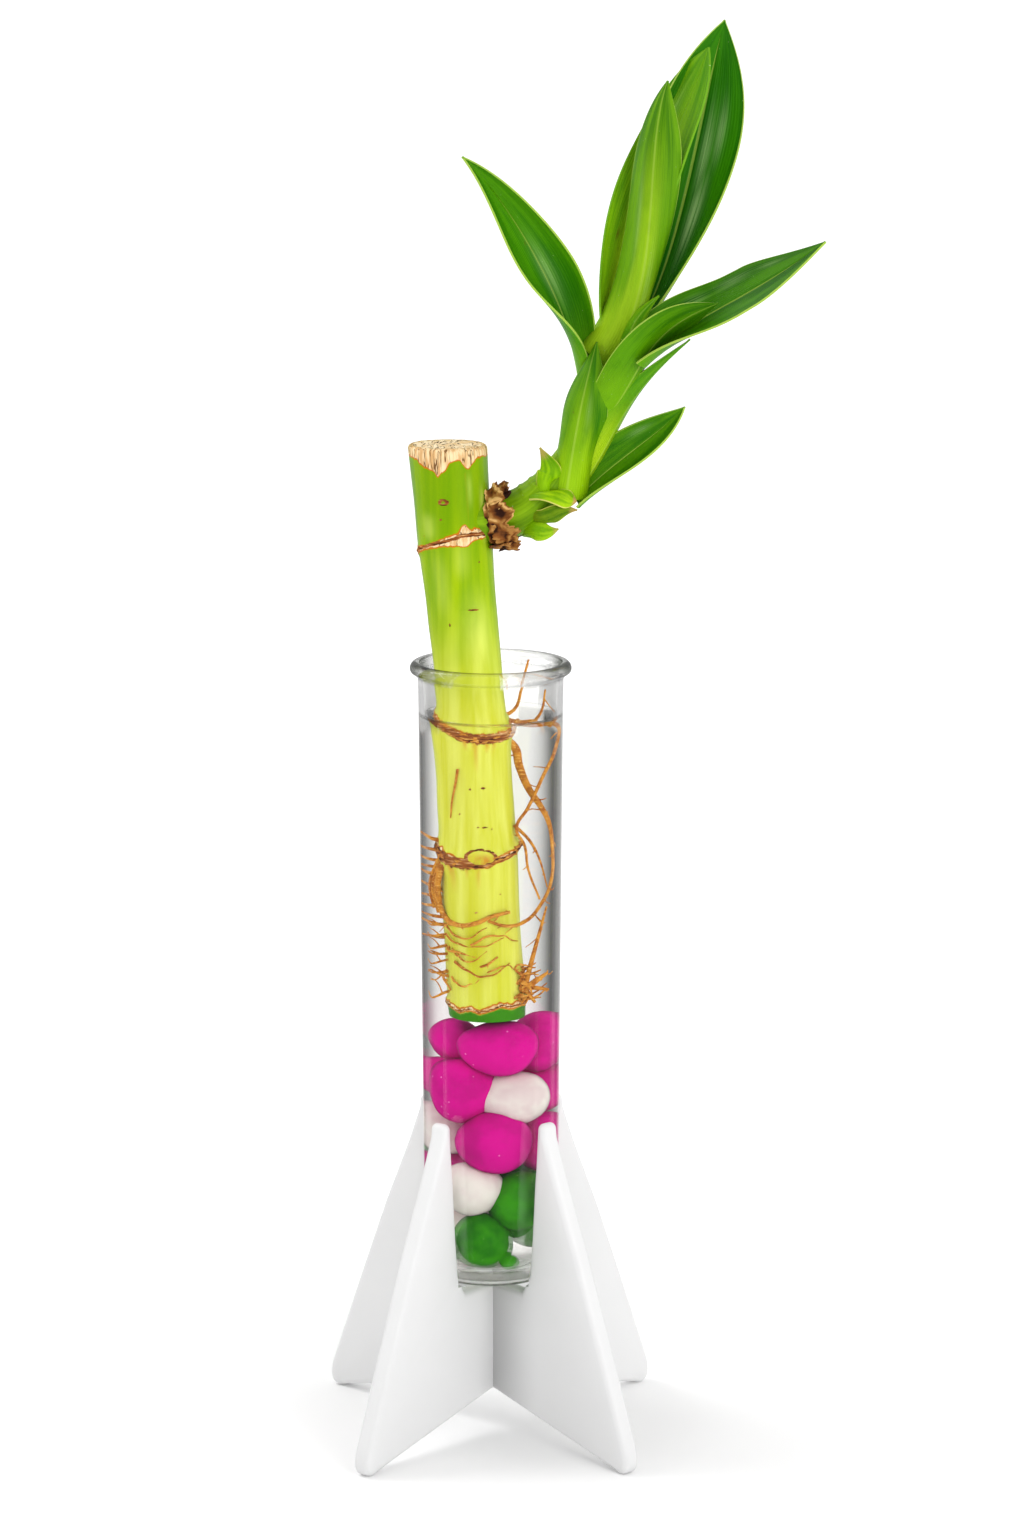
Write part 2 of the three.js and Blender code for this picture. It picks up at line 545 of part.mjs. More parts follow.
function pebbleSolid({ at, size, turn }, index, grow) {
  const geometry = new THREE.SphereGeometry(1, PEBBLE_AROUND, PEBBLE_UP);
  const position = geometry.attributes.position;
  for (let i = 0; i < position.count; i += 1) {
    const point = v3().fromBufferAttribute(position, i);
    const swell = 1 + 0.05 * Math.sin(2.3 * point.x + index) + 0.04 * Math.sin(2.9 * point.z + 2 * index);
    position.setXYZ(i, point.x * (size[0] * swell + grow), point.y * (size[1] * swell + grow),
      point.z * (size[2] * swell + grow));
  }
  return toSolid(geometry.rotateZ(degrees(turn)).translate(...at));
}

// Put together: what is named first keeps its shape, and what comes later is cut clear of it
const stand = buildStand();
const glass = lathe(tubeWallOutline(), TUBE_SIDES);
const glassRoom = lathe([
  [0, TUBE_BOTTOM - CLEARANCE],
  [tubeRadiusAt(TUBE_BOTTOM) + CLEARANCE, TUBE_BOTTOM - CLEARANCE],
  [TUBE_RADIUS + CLEARANCE, TUBE_TAPER_TOP],
  [0, TUBE_TAPER_TOP],
], TUBE_SIDES);
addPart('stand', stand.subtract(glassRoom), STAND_WHITE);
addPart('glass_tube', glass, GLASS);

const cane = addPart('cane', buildCane(0), CANE_GREEN);
const caneRoom = buildCane(CLEARANCE);

const bore = boreSolid(WATER_LEVEL, CLEARANCE);
let pebbleRoom = null;
PEBBLES.forEach((pebble, i) => {
  const taken = pebbleRoom ? caneRoom.add(pebbleRoom) : caneRoom;
  const solid = largestBody(pebbleSolid(pebble, i, 0).intersect(bore).subtract(taken));
  const name = `pebble_${String(i + 1).padStart(2, '0')}_${pebble.colour}`;
  addPart(name, solid, { color: PEBBLE_COLOURS[pebble.colour], roughness: 0.55, metalness: 0 });
  const room = pebbleSolid(pebble, i, CLEARANCE);
  pebbleRoom = pebbleRoom ? pebbleRoom.add(room) : room;
});
const waterHole = allRoots().reduce((hole, root) => (
  hole.add(rootSolid(root, CLEARANCE))
), caneTrunk(CANE_HOLE_ROOM));
addPart('water', largestBody(bore.subtract(waterHole).subtract(pebbleRoom)), WATER);

let taken = caneRoom;
function addLeaf(name, leaf, steps, material) {
  addPart(name, largestBody(leafSolid(leaf, steps, 0).subtract(taken)), material);
  taken = taken.add(leafSolid(leaf, steps, CLEARANCE));
}
Object.entries(SCALES).forEach(([name, scale]) => addLeaf(name, scale, SCALE_ROWS, LEAF_LIGHT));
Object.entries(LEAVES).forEach(([name, leaf]) => addLeaf(name, leaf, LEAF_ROWS, LEAF_GREEN));
addPart('dry_sheath', largestBody(drySheath().subtract(taken)), SHEATH_BROWN);

// The origin is under the middle of the whole, on the floor
const box = new THREE.Box3().setFromObject(group);
const middle = box.getCenter(v3());
group.position.set(-middle.x, -middle.y, -box.min.z);

export default group;
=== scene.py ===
import json
import math
import random

import bpy
import numpy as np
from mathutils import Matrix, Vector, noise


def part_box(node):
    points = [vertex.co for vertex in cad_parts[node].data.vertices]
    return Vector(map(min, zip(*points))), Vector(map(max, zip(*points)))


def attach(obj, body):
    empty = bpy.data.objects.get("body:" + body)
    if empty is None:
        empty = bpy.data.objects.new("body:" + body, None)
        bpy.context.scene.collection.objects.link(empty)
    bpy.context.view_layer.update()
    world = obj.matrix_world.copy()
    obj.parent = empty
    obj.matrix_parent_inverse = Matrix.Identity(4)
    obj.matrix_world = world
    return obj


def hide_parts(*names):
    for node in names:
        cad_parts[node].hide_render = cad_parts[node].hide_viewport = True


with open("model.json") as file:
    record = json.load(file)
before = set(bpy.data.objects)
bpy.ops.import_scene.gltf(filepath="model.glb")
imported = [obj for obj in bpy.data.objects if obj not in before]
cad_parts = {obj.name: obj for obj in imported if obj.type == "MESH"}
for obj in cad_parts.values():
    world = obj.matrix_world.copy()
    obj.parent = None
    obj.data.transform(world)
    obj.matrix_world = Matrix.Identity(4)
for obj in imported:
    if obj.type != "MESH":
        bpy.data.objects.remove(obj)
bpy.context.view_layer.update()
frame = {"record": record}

# Measures below are millimetres round the glass tube's axis, with the floor at 0
MM = 0.001
tube_low, tube_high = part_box("glass_tube")
AXIS = Vector(((tube_low.x + tube_high.x) / 2, (tube_low.y + tube_high.y) / 2, 0.0))
TUBE_BOTTOM = 33.8
TUBE_RADIUS = 15.0
TAPER = 0.0083
TAPER_TOP = 162.0
WALL = 1.1
BASE = 2.8
LIP_TOP = 163.9
WATER_LEVEL = 152.3


def at(x, y, z):
    return AXIS + Vector((x, y, z)) * MM


def tube_radius(z):
    return TUBE_RADIUS - TAPER * (TAPER_TOP - z)


def smooth(t):
    t = np.clip(t, 0.0, 1.0)
    return t * t * (3.0 - 2.0 * t)


def unit(vectors):
    return vectors / np.linalg.norm(vectors, axis=-1, keepdims=True)


def tone(red, green, blue):
    """A colour as the eye reads it on screen, 0 to 255, turned into light."""
    def light(value):
        value = value / 255.0
        return value / 12.92 if value <= 0.04045 else ((value + 0.055) / 1.055) ** 2.4
    return (light(red), light(green), light(blue), 1.0)


# Making pieces

def pick(*pieces):
    bpy.ops.object.select_all(action="DESELECT")
    for piece in pieces:
        piece.select_set(True)
    bpy.context.view_layer.objects.active = pieces[0]


def grid_sheet(name, across, along, surface):
    """A grid primitive laid over surface(u, v), which gives millimetres; it keeps its UV map."""
    bpy.ops.object.select_all(action="DESELECT")
    bpy.ops.mesh.primitive_grid_add(x_subdivisions=across, y_subdivisions=along, size=2.0)
    sheet = bpy.context.object
    sheet.name = name
    flat = points_of(sheet)
    places = surface((flat[:, 0] + 1.0) / 2.0, (flat[:, 1] + 1.0) / 2.0)
    put_points(sheet, places * MM + np.array(AXIS))
    return sheet


def sheet_shares(fine):
    """The u and v of every point of a grid primitive, in the order of its points."""
    across = np.linspace(0, 1, fine[0] + 1)
    along = np.linspace(0, 1, fine[1] + 1)
    return np.stack([np.tile(across, len(along)), np.repeat(along, len(across))], axis=1)


def points_of(piece):
    flat = np.empty(len(piece.data.vertices) * 3)
    piece.data.vertices.foreach_get("co", flat)
    return flat.reshape(-1, 3)


def put_points(piece, places):
    piece.data.vertices.foreach_set("co", np.ascontiguousarray(places).ravel())
    piece.data.update()


def close_seam(piece):
    """Joins a wrapped sheet along its seam and at its poles, and turns its faces outwards."""
    pick(piece)
    bpy.ops.object.mode_set(mode="EDIT")
    bpy.ops.mesh.select_all(action="SELECT")
    bpy.ops.mesh.remove_doubles(threshold=0.00001)
    bpy.ops.mesh.fill_holes(sides=0)
    bpy.ops.mesh.normals_make_consistent(inside=False)
    bpy.ops.object.mode_set(mode="OBJECT")
    bpy.ops.object.shade_smooth()


def thicken(piece, thickness):
    pick(piece)
    solid = piece.modifiers.new("thickness", "SOLIDIFY")
    solid.thickness = thickness * MM
    solid.offset = 0.0
    bpy.ops.object.modifier_apply(modifier=solid.name)
    bpy.ops.object.shade_smooth_by_angle(angle=math.radians(50))


def turned(name, profile, sides):
    """A round piece from rings of (radius, height), drawn up one ring after another."""
    bpy.ops.object.select_all(action="DESELECT")
    radius, height = profile[0]
    bpy.ops.mesh.primitive_circle_add(
        vertices=sides, radius=radius * MM, fill_type="NGON", location=at(0, 0, height))
    piece = bpy.context.object
    piece.name = name
    bpy.ops.object.transform_apply(location=True, rotation=True, scale=True)
    bpy.ops.object.mode_set(mode="EDIT")
    bpy.ops.mesh.select_all(action="SELECT")
    for next_radius, next_height in profile[1:]:
        bpy.ops.mesh.extrude_region_move(
            TRANSFORM_OT_translate={"value": (0, 0, (next_height - height) * MM)})
        grow = next_radius / radius
        bpy.ops.transform.resize(value=(grow, grow, 1), center_override=at(0, 0, next_height))
        radius, height = next_radius, next_height
    bpy.ops.mesh.select_all(action="SELECT")
    bpy.ops.mesh.normals_make_consistent(inside=False)
    bpy.ops.object.mode_set(mode="OBJECT")
    bpy.ops.object.shade_smooth_by_angle(angle=math.radians(35))
    return piece


def strand(points, thick, thin, sides):
    """A root: a bezier curve through the points, thinner to its tip, turned into a mesh."""
    bpy.ops.object.select_all(action="DESELECT")
    bpy.ops.curve.primitive_bezier_curve_add()
    curve = bpy.context.object
    spline = curve.data.splines[0]
    spline.bezier_points.add(len(points) - 2)
    last = len(points) - 1
    for i, (knot, place) in enumerate(zip(spline.bezier_points, points)):
        knot.co = at(*place)
        knot.handle_left_type = "AUTO"
        knot.handle_right_type = "AUTO"
        knot.radius = thick + (thin - thick) * i / last
    curve.data.bevel_depth = MM
    curve.data.bevel_resolution = sides
    curve.data.resolution_u = 5
    curve.data.use_fill_caps = True
    bpy.ops.object.convert(target="MESH")
    return bpy.context.object


def join_pieces(name, pieces):
    pick(*pieces)
    bpy.ops.object.join()
    piece = bpy.context.object
    piece.name = name
    bpy.ops.object.shade_smooth_by_angle(angle=math.radians(50))
    return piece


def paint(piece, name, values):
    """Keeps a value per point for the material to read."""
    layer = piece.data.attributes.new(name, "FLOAT", "POINT")
    layer.data.foreach_set("value", np.ascontiguousarray(values, dtype=np.float32))


def dress(piece, material, slot, *nodes):
    piece.data.materials.clear()
    piece.data.materials.append(material)
    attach(piece, "root")
    if nodes:
        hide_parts(*nodes)


# Making materials

def node(tree, kind, inputs=None, **settings):
    made = tree.nodes.new(kind)
    for key, value in settings.items():
        setattr(made, key, value)
    for key, value in (inputs or {}).items():
        socket = made.inputs[key]
        if isinstance(value, bpy.types.NodeSocket):
            tree.links.new(value, socket)
        else:
            socket.default_value = value
    return made


def calc(tree, operation, a, b=0.0):
    return node(tree, "ShaderNodeMath", {0: a, 1: b}, operation=operation).outputs[0]


def times(tree, a, b):
    return calc(tree, "MULTIPLY", a, b)


def plus(tree, a, b):
    return calc(tree, "ADD", a, b)


def minus(tree, a, b):
    return calc(tree, "SUBTRACT", a, b)


def uneven(tree, value, amount):
    """Noise that swings as far below nought as above it."""
    return times(tree, minus(tree, value, 0.5), amount)


def crease(tree, value):
    """Nought along the lines where noise passes its middle, for cracks and splits."""
    return calc(tree, "ABSOLUTE", minus(tree, value, 0.5))


def vector_calc(tree, operation, a, b=None):
    inputs = {0: a} if b is None else {0: a, 1: b}
    return node(tree, "ShaderNodeVectorMath", inputs, operation=operation).outputs


def parts(tree, vector):
    return node(tree, "ShaderNodeSeparateXYZ", {0: vector}).outputs


def ramp(tree, value, low, high, to_low=0.0, to_high=1.0):
    made = node(tree, "ShaderNodeMapRange", {
        "Value": value, "From Min": low, "From Max": high, "To Min": to_low, "To Max": to_high},
        interpolation_type="SMOOTHSTEP")
    return made.outputs["Result"]


def blend(tree, factor, a, b):
    return node(tree, "ShaderNodeMix", {0: factor, 6: a, 7: b}, data_type="RGBA").outputs[2]


def shade(tree, colour, by):
    # The noise that hollows and raises the strip also paints its shade and highlight
    """A colour multiplied by another."""
    return node(tree, "ShaderNodeMix", {0: 1.0, 6: colour, 7: by},
                data_type="RGBA", blend_type="MULTIPLY").outputs[2]


def attribute(tree, name):
    return node(tree, "ShaderNodeAttribute", attribute_name=name).outputs["Fac"]


def place_coordinates(tree, output="Object"):
    return node(tree, "ShaderNodeTexCoord").outputs[output]


def turned_away(tree):
    """Nought where a surface faces the eye, one at its rim."""
    return node(tree, "ShaderNodeLayerWeight", {"Blend": 0.5}).outputs["Facing"]


def stretched(tree, vector, scale):
    return node(tree, "ShaderNodeMapping", {"Vector": vector, "Scale": scale}).outputs["Vector"]


def cloud(tree, vector, scale, detail, rough=0.55, distortion=0.0):
    return node(tree, "ShaderNodeTexNoise", {
        "Vector": vector, "Scale": scale, "Detail": detail, "Roughness": rough,
        "Distortion": distortion}).outputs["Fac"]


def streaks(tree, vector, scale, detail, rough=0.55, distortion=0.0):
    """Noise with a scale of its own along each axis."""
    return cloud(tree, stretched(tree, vector, scale), 1.0, detail, rough, distortion)


def new_material(name, **shader):
    material = bpy.data.materials.new(name)
    material.use_nodes = True
    tree = material.node_tree
    tree.nodes.clear()
    surface = node(tree, "ShaderNodeBsdfPrincipled")
    for key, value in shader.items():
        surface.inputs[key.replace("_", " ")].default_value = value
    out = node(tree, "ShaderNodeOutputMaterial", {"Surface": surface.outputs[0]})
    return material, tree, surface, out


def feed(tree, target, **values):
    for key, value in values.items():
        tree.links.new(value, target.inputs[key.replace("_", " ")])


def bump(tree, surface, height, strength, distance):
    made = node(tree, "ShaderNodeBump", {"Height": height, "Strength": strength, "Distance": distance})
    feed(tree, surface, Normal=made.outputs["Normal"])


def new_group(name, inputs, outputs):
    tree = bpy.data.node_groups.new(name, "ShaderNodeTree")
    for label, kind in inputs:
        tree.interface.new_socket(label, in_out="INPUT", socket_type=kind)
    for label, kind in outputs:
        tree.interface.new_socket(label, in_out="OUTPUT", socket_type=kind)
    into = node(tree, "NodeGroupInput")
    out = node(tree, "NodeGroupOutput")
    return tree, into, out


COLOUR = "NodeSocketColor"
NUMBER = "NodeSocketFloat"


def blade_group():
    """Leaf blade: long streaks, a lime foot, a pale rib and margin, and a dry tip."""
    colours = ("Deep", "Light", "Foot", "Margin")
    numbers = ("Foot End", "Margin Start", "Rib", "Dry Tip", "Seed", "Glow")
    tree, into, out = new_group(
        "blade", [(label, COLOUR) for label in colours] + [(label, NUMBER) for label in numbers],
        [("Colour", COLOUR), ("Roughness", NUMBER), ("Height", NUMBER)])
    get = into.outputs
    across, along, _ = parts(tree, place_coordinates(tree, "UV"))
    side = calc(tree, "ABSOLUTE", minus(tree, times(tree, across, 2.0), 1.0))
    flow = node(tree, "ShaderNodeCombineXYZ", {0: across, 1: along, 2: get["Seed"]}).outputs[0]
    broad = streaks(tree, flow, (4.2, 1.5, 1.0), 4.0)
    fine = streaks(tree, flow, (60.0, 1.6, 1.0), 3.0)
    mottle = cloud(tree, stretched(tree, flow, (3.0, 5.0, 1.0)), 1.6, 5.0)
    veins = node(tree, "ShaderNodeTexWave", {
        "Vector": stretched(tree, flow, (9.0, 0.25, 1.0)), "Scale": 1.0, "Distortion": 1.2,
        "Detail": 1.0, "Detail Scale": 2.0}, bands_direction="X").outputs["Fac"]
    specks = node(tree, "ShaderNodeTexVoronoi", {
        "Vector": stretched(tree, flow, (10.0, 26.0, 1.0)), "Scale": 1.0}).outputs["Distance"]
    # The green of the blade, and the lime that rises from its foot
    streak = ramp(tree, plus(tree, times(tree, broad, 0.74), times(tree, fine, 0.26)), 0.38, 0.62)
    colour = blend(tree, streak, get["Deep"], get["Light"])
    colour = blend(tree, ramp(tree, veins, 0.55, 0.95, 0.0, 0.12), colour, get["Light"])
    # Painted light: Glow lifts the middle of the lower blade towards the lime, for light shining through it
    middle = times(tree, ramp(tree, plus(tree, side, broad), 0.5, 1.1, 1.0, 0.0),
                   ramp(tree, along, 0.35, 0.9, 1.0, 0.0))
    colour = blend(tree, times(tree, middle, get["Glow"]), colour, get["Foot"])
    fade = plus(tree, along, uneven(tree, broad, 0.5))
    foot = ramp(tree, fade, times(tree, get["Foot End"], 0.15), get["Foot End"], 1.0, 0.0)
    colour = blend(tree, foot, colour, get["Foot"])
    colour = blend(tree, ramp(tree, mottle, 0.5, 0.8, 0.0, 0.3), colour, get["Deep"])
    # Rib, margin, dry tip, specks, and the painted streaks of light and blemishes
    rib = times(tree, ramp(tree, side, 0.012, 0.05, 1.0, 0.0), get["Rib"])
    colour = blend(tree, rib, colour, get["Margin"])
    edge = minus(tree, side, get["Margin Start"])
    colour = blend(tree, ramp(tree, edge, 0.0, 0.02, 0.0, 0.75), colour, get["Margin"])
    ragged = plus(tree, along, uneven(tree, fine, 0.25))
    dry = times(tree, ramp(tree, ragged, 0.86, 0.93), get["Dry Tip"])
    colour = blend(tree, dry, colour, tone(196, 150, 92))
    colour = blend(tree, ramp(tree, specks, 0.03, 0.06, 0.35, 0.0), colour, tone(210, 225, 170))
    shine = times(tree, attribute(tree, "shine"), ramp(tree, fine, 0.34, 0.62, 0.25, 1.0))
    colour = blend(tree, shine, colour, tone(168, 204, 132))
    colour = blend(tree, attribute(tree, "blemish"), colour, tone(96, 62, 14))
    height = plus(tree, times(tree, veins, 0.5), times(tree, fine, 0.5))
    feed(tree, out, Colour=colour, Roughness=plus(tree, 0.34, times(tree, fine, 0.16)),
         Height=minus(tree, height, times(tree, rib, 0.8)))
    return tree


BLADE = blade_group()


def leaf_material(name, look):
    material, tree, surface, _ = new_material(name, Specular_IOR_Level=0.1, IOR=1.45)
    blade = node(tree, "ShaderNodeGroup", look, node_tree=BLADE).outputs
    feed(tree, surface, Base_Color=blade["Colour"], Roughness=blade["Roughness"])
    bump(tree, surface, blade["Height"], 0.35, 0.0002)
    return material


def living_skin(tree, place, grain):
    """Lime above the water and paler below it, with a green foot and stains under the rings."""
    height = parts(tree, place)[2]
    soft = streaks(tree, place, (130.0, 130.0, 40.0), 3.0)
    dry = blend(tree, ramp(tree, grain, 0.25, 0.75), tone(116, 160, 0), tone(158, 188, 4))
    dry = blend(tree, ramp(tree, soft, 0.5, 0.8, 0.0, 0.5), dry, tone(196, 212, 44))
    dry = blend(tree, ramp(tree, height, 0.184, 0.198, 0.0, 0.5), dry, tone(96, 146, 0))
    # Pale streaks and patches, in part painted highlights
    pale = times(tree, attribute(tree, "pale"), ramp(tree, soft, 0.3, 0.6, 0.4, 0.9))
    dry = blend(tree, pale, dry, tone(216, 230, 104))
    wet = blend(tree, ramp(tree, grain, 0.25, 0.75), tone(202, 204, 36), tone(224, 227, 104))
    olive = times(tree, attribute(tree, "olive"), ramp(tree, soft, 0.3, 0.6, 0.3, 1.0))
    wet = blend(tree, olive, wet, tone(186, 182, 0))
    colour = blend(tree, ramp(tree, height, 0.148, 0.180, 1.0, 0.0), dry, wet)
    colour = blend(tree, attribute(tree, "green_foot"), colour, tone(54, 132, 2))
    stain = times(tree, attribute(tree, "stain"), ramp(tree, grain, 0.3, 0.6))
    return blend(tree, stain, colour, tone(205, 130, 30))


def peeled_skin(tree, place):
    """Tan inner bark with dark splits."""
    rows = streaks(tree, place, (1500.0, 1500.0, 260.0), 4.0)
    bark = blend(tree, ramp(tree, rows, 0.36, 0.62), tone(214, 168, 112), tone(244, 218, 172))
    splits = crease(tree, streaks(tree, place, (620.0, 620.0, 70.0), 3.0))
    return blend(tree, ramp(tree, splits, 0.004, 0.022), tone(112, 74, 40), bark)


def cane_material():
    """The cane's skin, with what is painted on it: peeled bark, brown scars and the cut top."""
    material, tree, surface, _ = new_material("cane skin", Specular_IOR_Level=0.06)
    place = place_coordinates(tree)
    peel = attribute(tree, "peel")
    brown = attribute(tree, "brown")
    cut_face = attribute(tree, "cut_face")
    grain = streaks(tree, place, (420.0, 420.0, 16.0), 4.0)
    fine = cloud(tree, place, 1800.0, 3.0)
    colour = living_skin(tree, place, grain)
    ragged = plus(tree, peel, uneven(tree, fine, 0.5))
    colour = blend(tree, ramp(tree, ragged, -0.36, -0.14), colour, tone(196, 112, 22))
    colour = blend(tree, ramp(tree, ragged, 0.0, 0.14), colour, peeled_skin(tree, place))
    scar = plus(tree, brown, uneven(tree, fine, 0.7))
    wound = streaks(tree, place, (260.0, 260.0, 2300.0), 4.0, 0.6, 0.6)
    dark = blend(tree, ramp(tree, wound, 0.36, 0.5), tone(62, 26, 10), tone(150, 84, 40))
    dark = blend(tree, ramp(tree, wound, 0.54, 0.68), dark, tone(226, 178, 116))
    colour = blend(tree, ramp(tree, scar, 0.4, 0.62), colour, dark)
    fibres = streaks(tree, place, (380.0, 190.0, 380.0), 2.0, 0.5, 1.2)
    face = blend(tree, ramp(tree, fibres, 0.3, 0.7), tone(222, 190, 140), tone(244, 226, 190))
    face = blend(tree, ramp(tree, crease(tree, fibres), 0.008, 0.024), tone(70, 46, 22), face)
    colour = blend(tree, ramp(tree, cut_face, 0.3, 0.7), colour, face)
    # Painted shade: the round sides darken towards their rim, the cut face doesn't
    painted_rim_shade = times(tree, ramp(tree, turned_away(tree), 0.5, 0.98, 0.0, 0.8), minus(tree, 1.0, cut_face))
    colour = blend(tree, painted_rim_shade, colour, shade(tree, colour, (0.58, 0.66, 0.4, 1)))
    rough = ramp(tree, calc(tree, "MAXIMUM", peel, brown), -0.1, 0.4, 0.33, 0.75)
    feed(tree, surface, Base_Color=colour, Roughness=rough)
    relief = plus(tree, times(tree, times(tree, wound, scar), 1.5), times(tree, grain, 0.3))
    relief = plus(tree, relief, times(tree, fibres, times(tree, cut_face, 2.0)))
    bump(tree, surface, relief, 0.4, 0.0003)
    return material


def root_material():
    """Orange root skin with blotches and pale fibres."""
    material, tree, surface, _ = new_material("root skin", Roughness=0.8, Specular_IOR_Level=0.3)
    place = place_coordinates(tree)
    blotch = cloud(tree, place, 520.0, 5.0, 0.6)
    fibre = streaks(tree, place, (600.0, 3200.0, 3200.0), 4.0)
    colour = blend(tree, ramp(tree, blotch, 0.38, 0.62), tone(168, 92, 14), tone(212, 142, 44))
    colour = blend(tree, ramp(tree, fibre, 0.5, 0.72), colour, tone(236, 184, 88))
    feed(tree, surface, Base_Color=colour)
    bump(tree, surface, plus(tree, blotch, fibre), 0.6, 0.0003)
    return material


def husk_material():
    """Dry papery husk: painted shade darkens its hollows; it is tan on its folds
    and pale along the sharpest ones, in part a painted highlight.
    """
    material, tree, surface, _ = new_material("dry husk", Roughness=0.75, Specular_IOR_Level=0.2)
    place = place_coordinates(tree)
    fibre = streaks(tree, place, (260.0, 1300.0, 1300.0), 5.0)
    fold = plus(tree, attribute(tree, "fold"), uneven(tree, fibre, 0.9))
    # Darker towards the bottom of the husk, lighter towards its top
    fold = plus(tree, fold, ramp(tree, parts(tree, place)[2], 0.189, 0.199, -0.3, 0.3))
    colour = blend(tree, ramp(tree, fold, -0.4, 0.2), tone(50, 18, 2), tone(124, 70, 22))
    colour = blend(tree, ramp(tree, fold, 0.15, 0.65), colour, tone(168, 118, 58))
    colour = blend(tree, ramp(tree, fold, 0.66, 0.95), colour, tone(222, 176, 108))
    feed(tree, surface, Base_Color=colour)
    bump(tree, surface, fibre, 0.5, 0.0003)
    return material


def pebble_material(name, main, deep, speck):
    """Dyed stone: matte, slightly uneven dye, tiny pale specks and a painted shade at its rim."""
    material, tree, surface, _ = new_material(name, Specular_IOR_Level=0.05)
    place = place_coordinates(tree)
    patch = cloud(tree, place, 180.0, 4.0)
    grit = cloud(tree, place, 2600.0, 3.0)
    colour = blend(tree, ramp(tree, patch, 0.38, 0.66), main, deep)
    dots = node(tree, "ShaderNodeTexVoronoi", {"Vector": place, "Scale": 620.0}).outputs
    near = ramp(tree, dots["Distance"], 0.08, 0.16, 1.0, 0.0)
    rare = ramp(tree, parts(tree, dots["Color"])[0], 0.80, 0.86, 0.0, 0.55)
    colour = blend(tree, times(tree, near, rare), colour, speck)
    # Painted shade: the stone darkens towards its rim
    rim = ramp(tree, turned_away(tree), 0.45, 0.98, 0.0, 0.85)
    colour = blend(tree, rim, colour, shade(tree, colour, (0.42, 0.36, 0.4, 1)))
    feed(tree, surface, Base_Color=colour, Roughness=ramp(tree, grit, 0.3, 0.7, 0.5, 0.68))
    bump(tree, surface, plus(tree, grit, patch), 0.25, 0.0002)
    return material


def clear_material(name, ior, plain, edge):
    """Clear glass or water; light that falls through it isn't held back.

    Where the piece is painted as its open face, the plain share lets the look pass unbent,
    and edge is how strongly its outline is greyed, a painted dark rim standing in for what the glass bends
    and mirrors there."""
    tint = tone(255, 255, 254)
    material, tree, surface, out = new_material(
        name, Base_Color=tint, Roughness=0.0, IOR=ior, Transmission_Weight=1.0)
    open_face = attribute(tree, "open_face")
    # Painted shade and reflection: the open face greys towards its outline
    outline = times(tree, ramp(tree, turned_away(tree), 0.35, 0.75, 0.0, edge), open_face)
    through = node(tree, "ShaderNodeBsdfTransparent", {
        "Color": blend(tree, outline, tint, tone(96, 102, 86))})
    path = node(tree, "ShaderNodeLightPath").outputs
    unseen = calc(tree, "MAXIMUM", path["Is Shadow Ray"], path["Is Diffuse Ray"])
    mixed = node(tree, "ShaderNodeMixShader", {
        0: calc(tree, "MAXIMUM", unseen, times(tree, open_face, plain)),
        1: surface.outputs[0], 2: through.outputs[0]})
    feed(tree, out, Surface=mixed.outputs[0])
    return material


def moulded_material():
    """White moulded plastic with a faint satin grain."""
    material, tree, surface, _ = new_material("white moulding", Specular_IOR_Level=0.5, IOR=1.46)
    place = place_coordinates(tree)
    cast = cloud(tree, place, 60.0, 3.0)
    colour = blend(tree, cast, tone(226, 226, 226), tone(232, 232, 232))
    # Painted shade darkens the inner corners on the faces that look left
    flat = vector_calc(tree, "MULTIPLY", vector_calc(tree, "SUBTRACT", place, AXIS)[0], (1, 1, 0))[0]
    away = vector_calc(tree, "LENGTH", flat)["Value"]
    normal = node(tree, "ShaderNodeNewGeometry").outputs["Normal"]
    left = vector_calc(tree, "DOT_PRODUCT", normal, (-0.76, -0.65, 0))["Value"]
    corner = times(tree, ramp(tree, away, 0.002, 0.018, 0.5, 0.0), ramp(tree, left, 0.6, 0.95))
    feed(tree, surface, Base_Color=blend(tree, corner, colour, tone(120, 120, 120)),
         Roughness=ramp(tree, cast, 0.3, 0.7, 0.36, 0.44))
    bump(tree, surface, cloud(tree, place, 5200.0, 2.0), 0.08, 0.00005)
    return material


# Stand: four fins, each drawn from its outline, joined and cut clear of the tube

FIN_THICKNESS = 4.0
FIN_ROUNDING = 1.3
FIN_ANGLES = (40.6, -37.6, 132.3, -129.3)
STAND_SHIFT = 0.3
# How far the stand keeps off the glass: beside its foot, beside its top and below
ROOM_BESIDE_FOOT = 0.25
ROOM_BESIDE_TOP = 0.3
ROOM_BELOW = 0.3


def bend(a, b, c, steps):
    """Points of a quadratic curve from a to c, a left out."""
    return [tuple((1 - t) ** 2 * p + 2 * (1 - t) * t * q + t * t * r for p, q, r in zip(a, b, c))
            for t in (i / steps for i in range(1, steps + 1))]


def fin_outline():
    points = [(-1.5, 8.3), (2.5, 8.3), (39.4, 0.7)]
    points += bend((39.4, 0.7), (41.0, 0.35), (41.7, 0.0), 6)
    points += [(42.3, 0.0)]
    points += bend((42.3, 0.0), (45.3, 0.6), (43.9, 5.4), 10)
    points += bend((43.9, 5.4), (37.4, 22.0), (28.5, 44.0), 14)
    points += [(22.1, 58.3), (18.9, 66.4)]
    points += [(17.45 + 1.3 * math.cos(math.radians(a)), 67.9 + 1.4 * math.sin(math.radians(a)))
               for a in range(0, 181, 20)]
    points += [(15.6, 60.0), (15.2, 56.0), (14.4, 44.0), (13.6, 36.2), (11.4, 31.9), (-1.5, 31.9)]
    return points


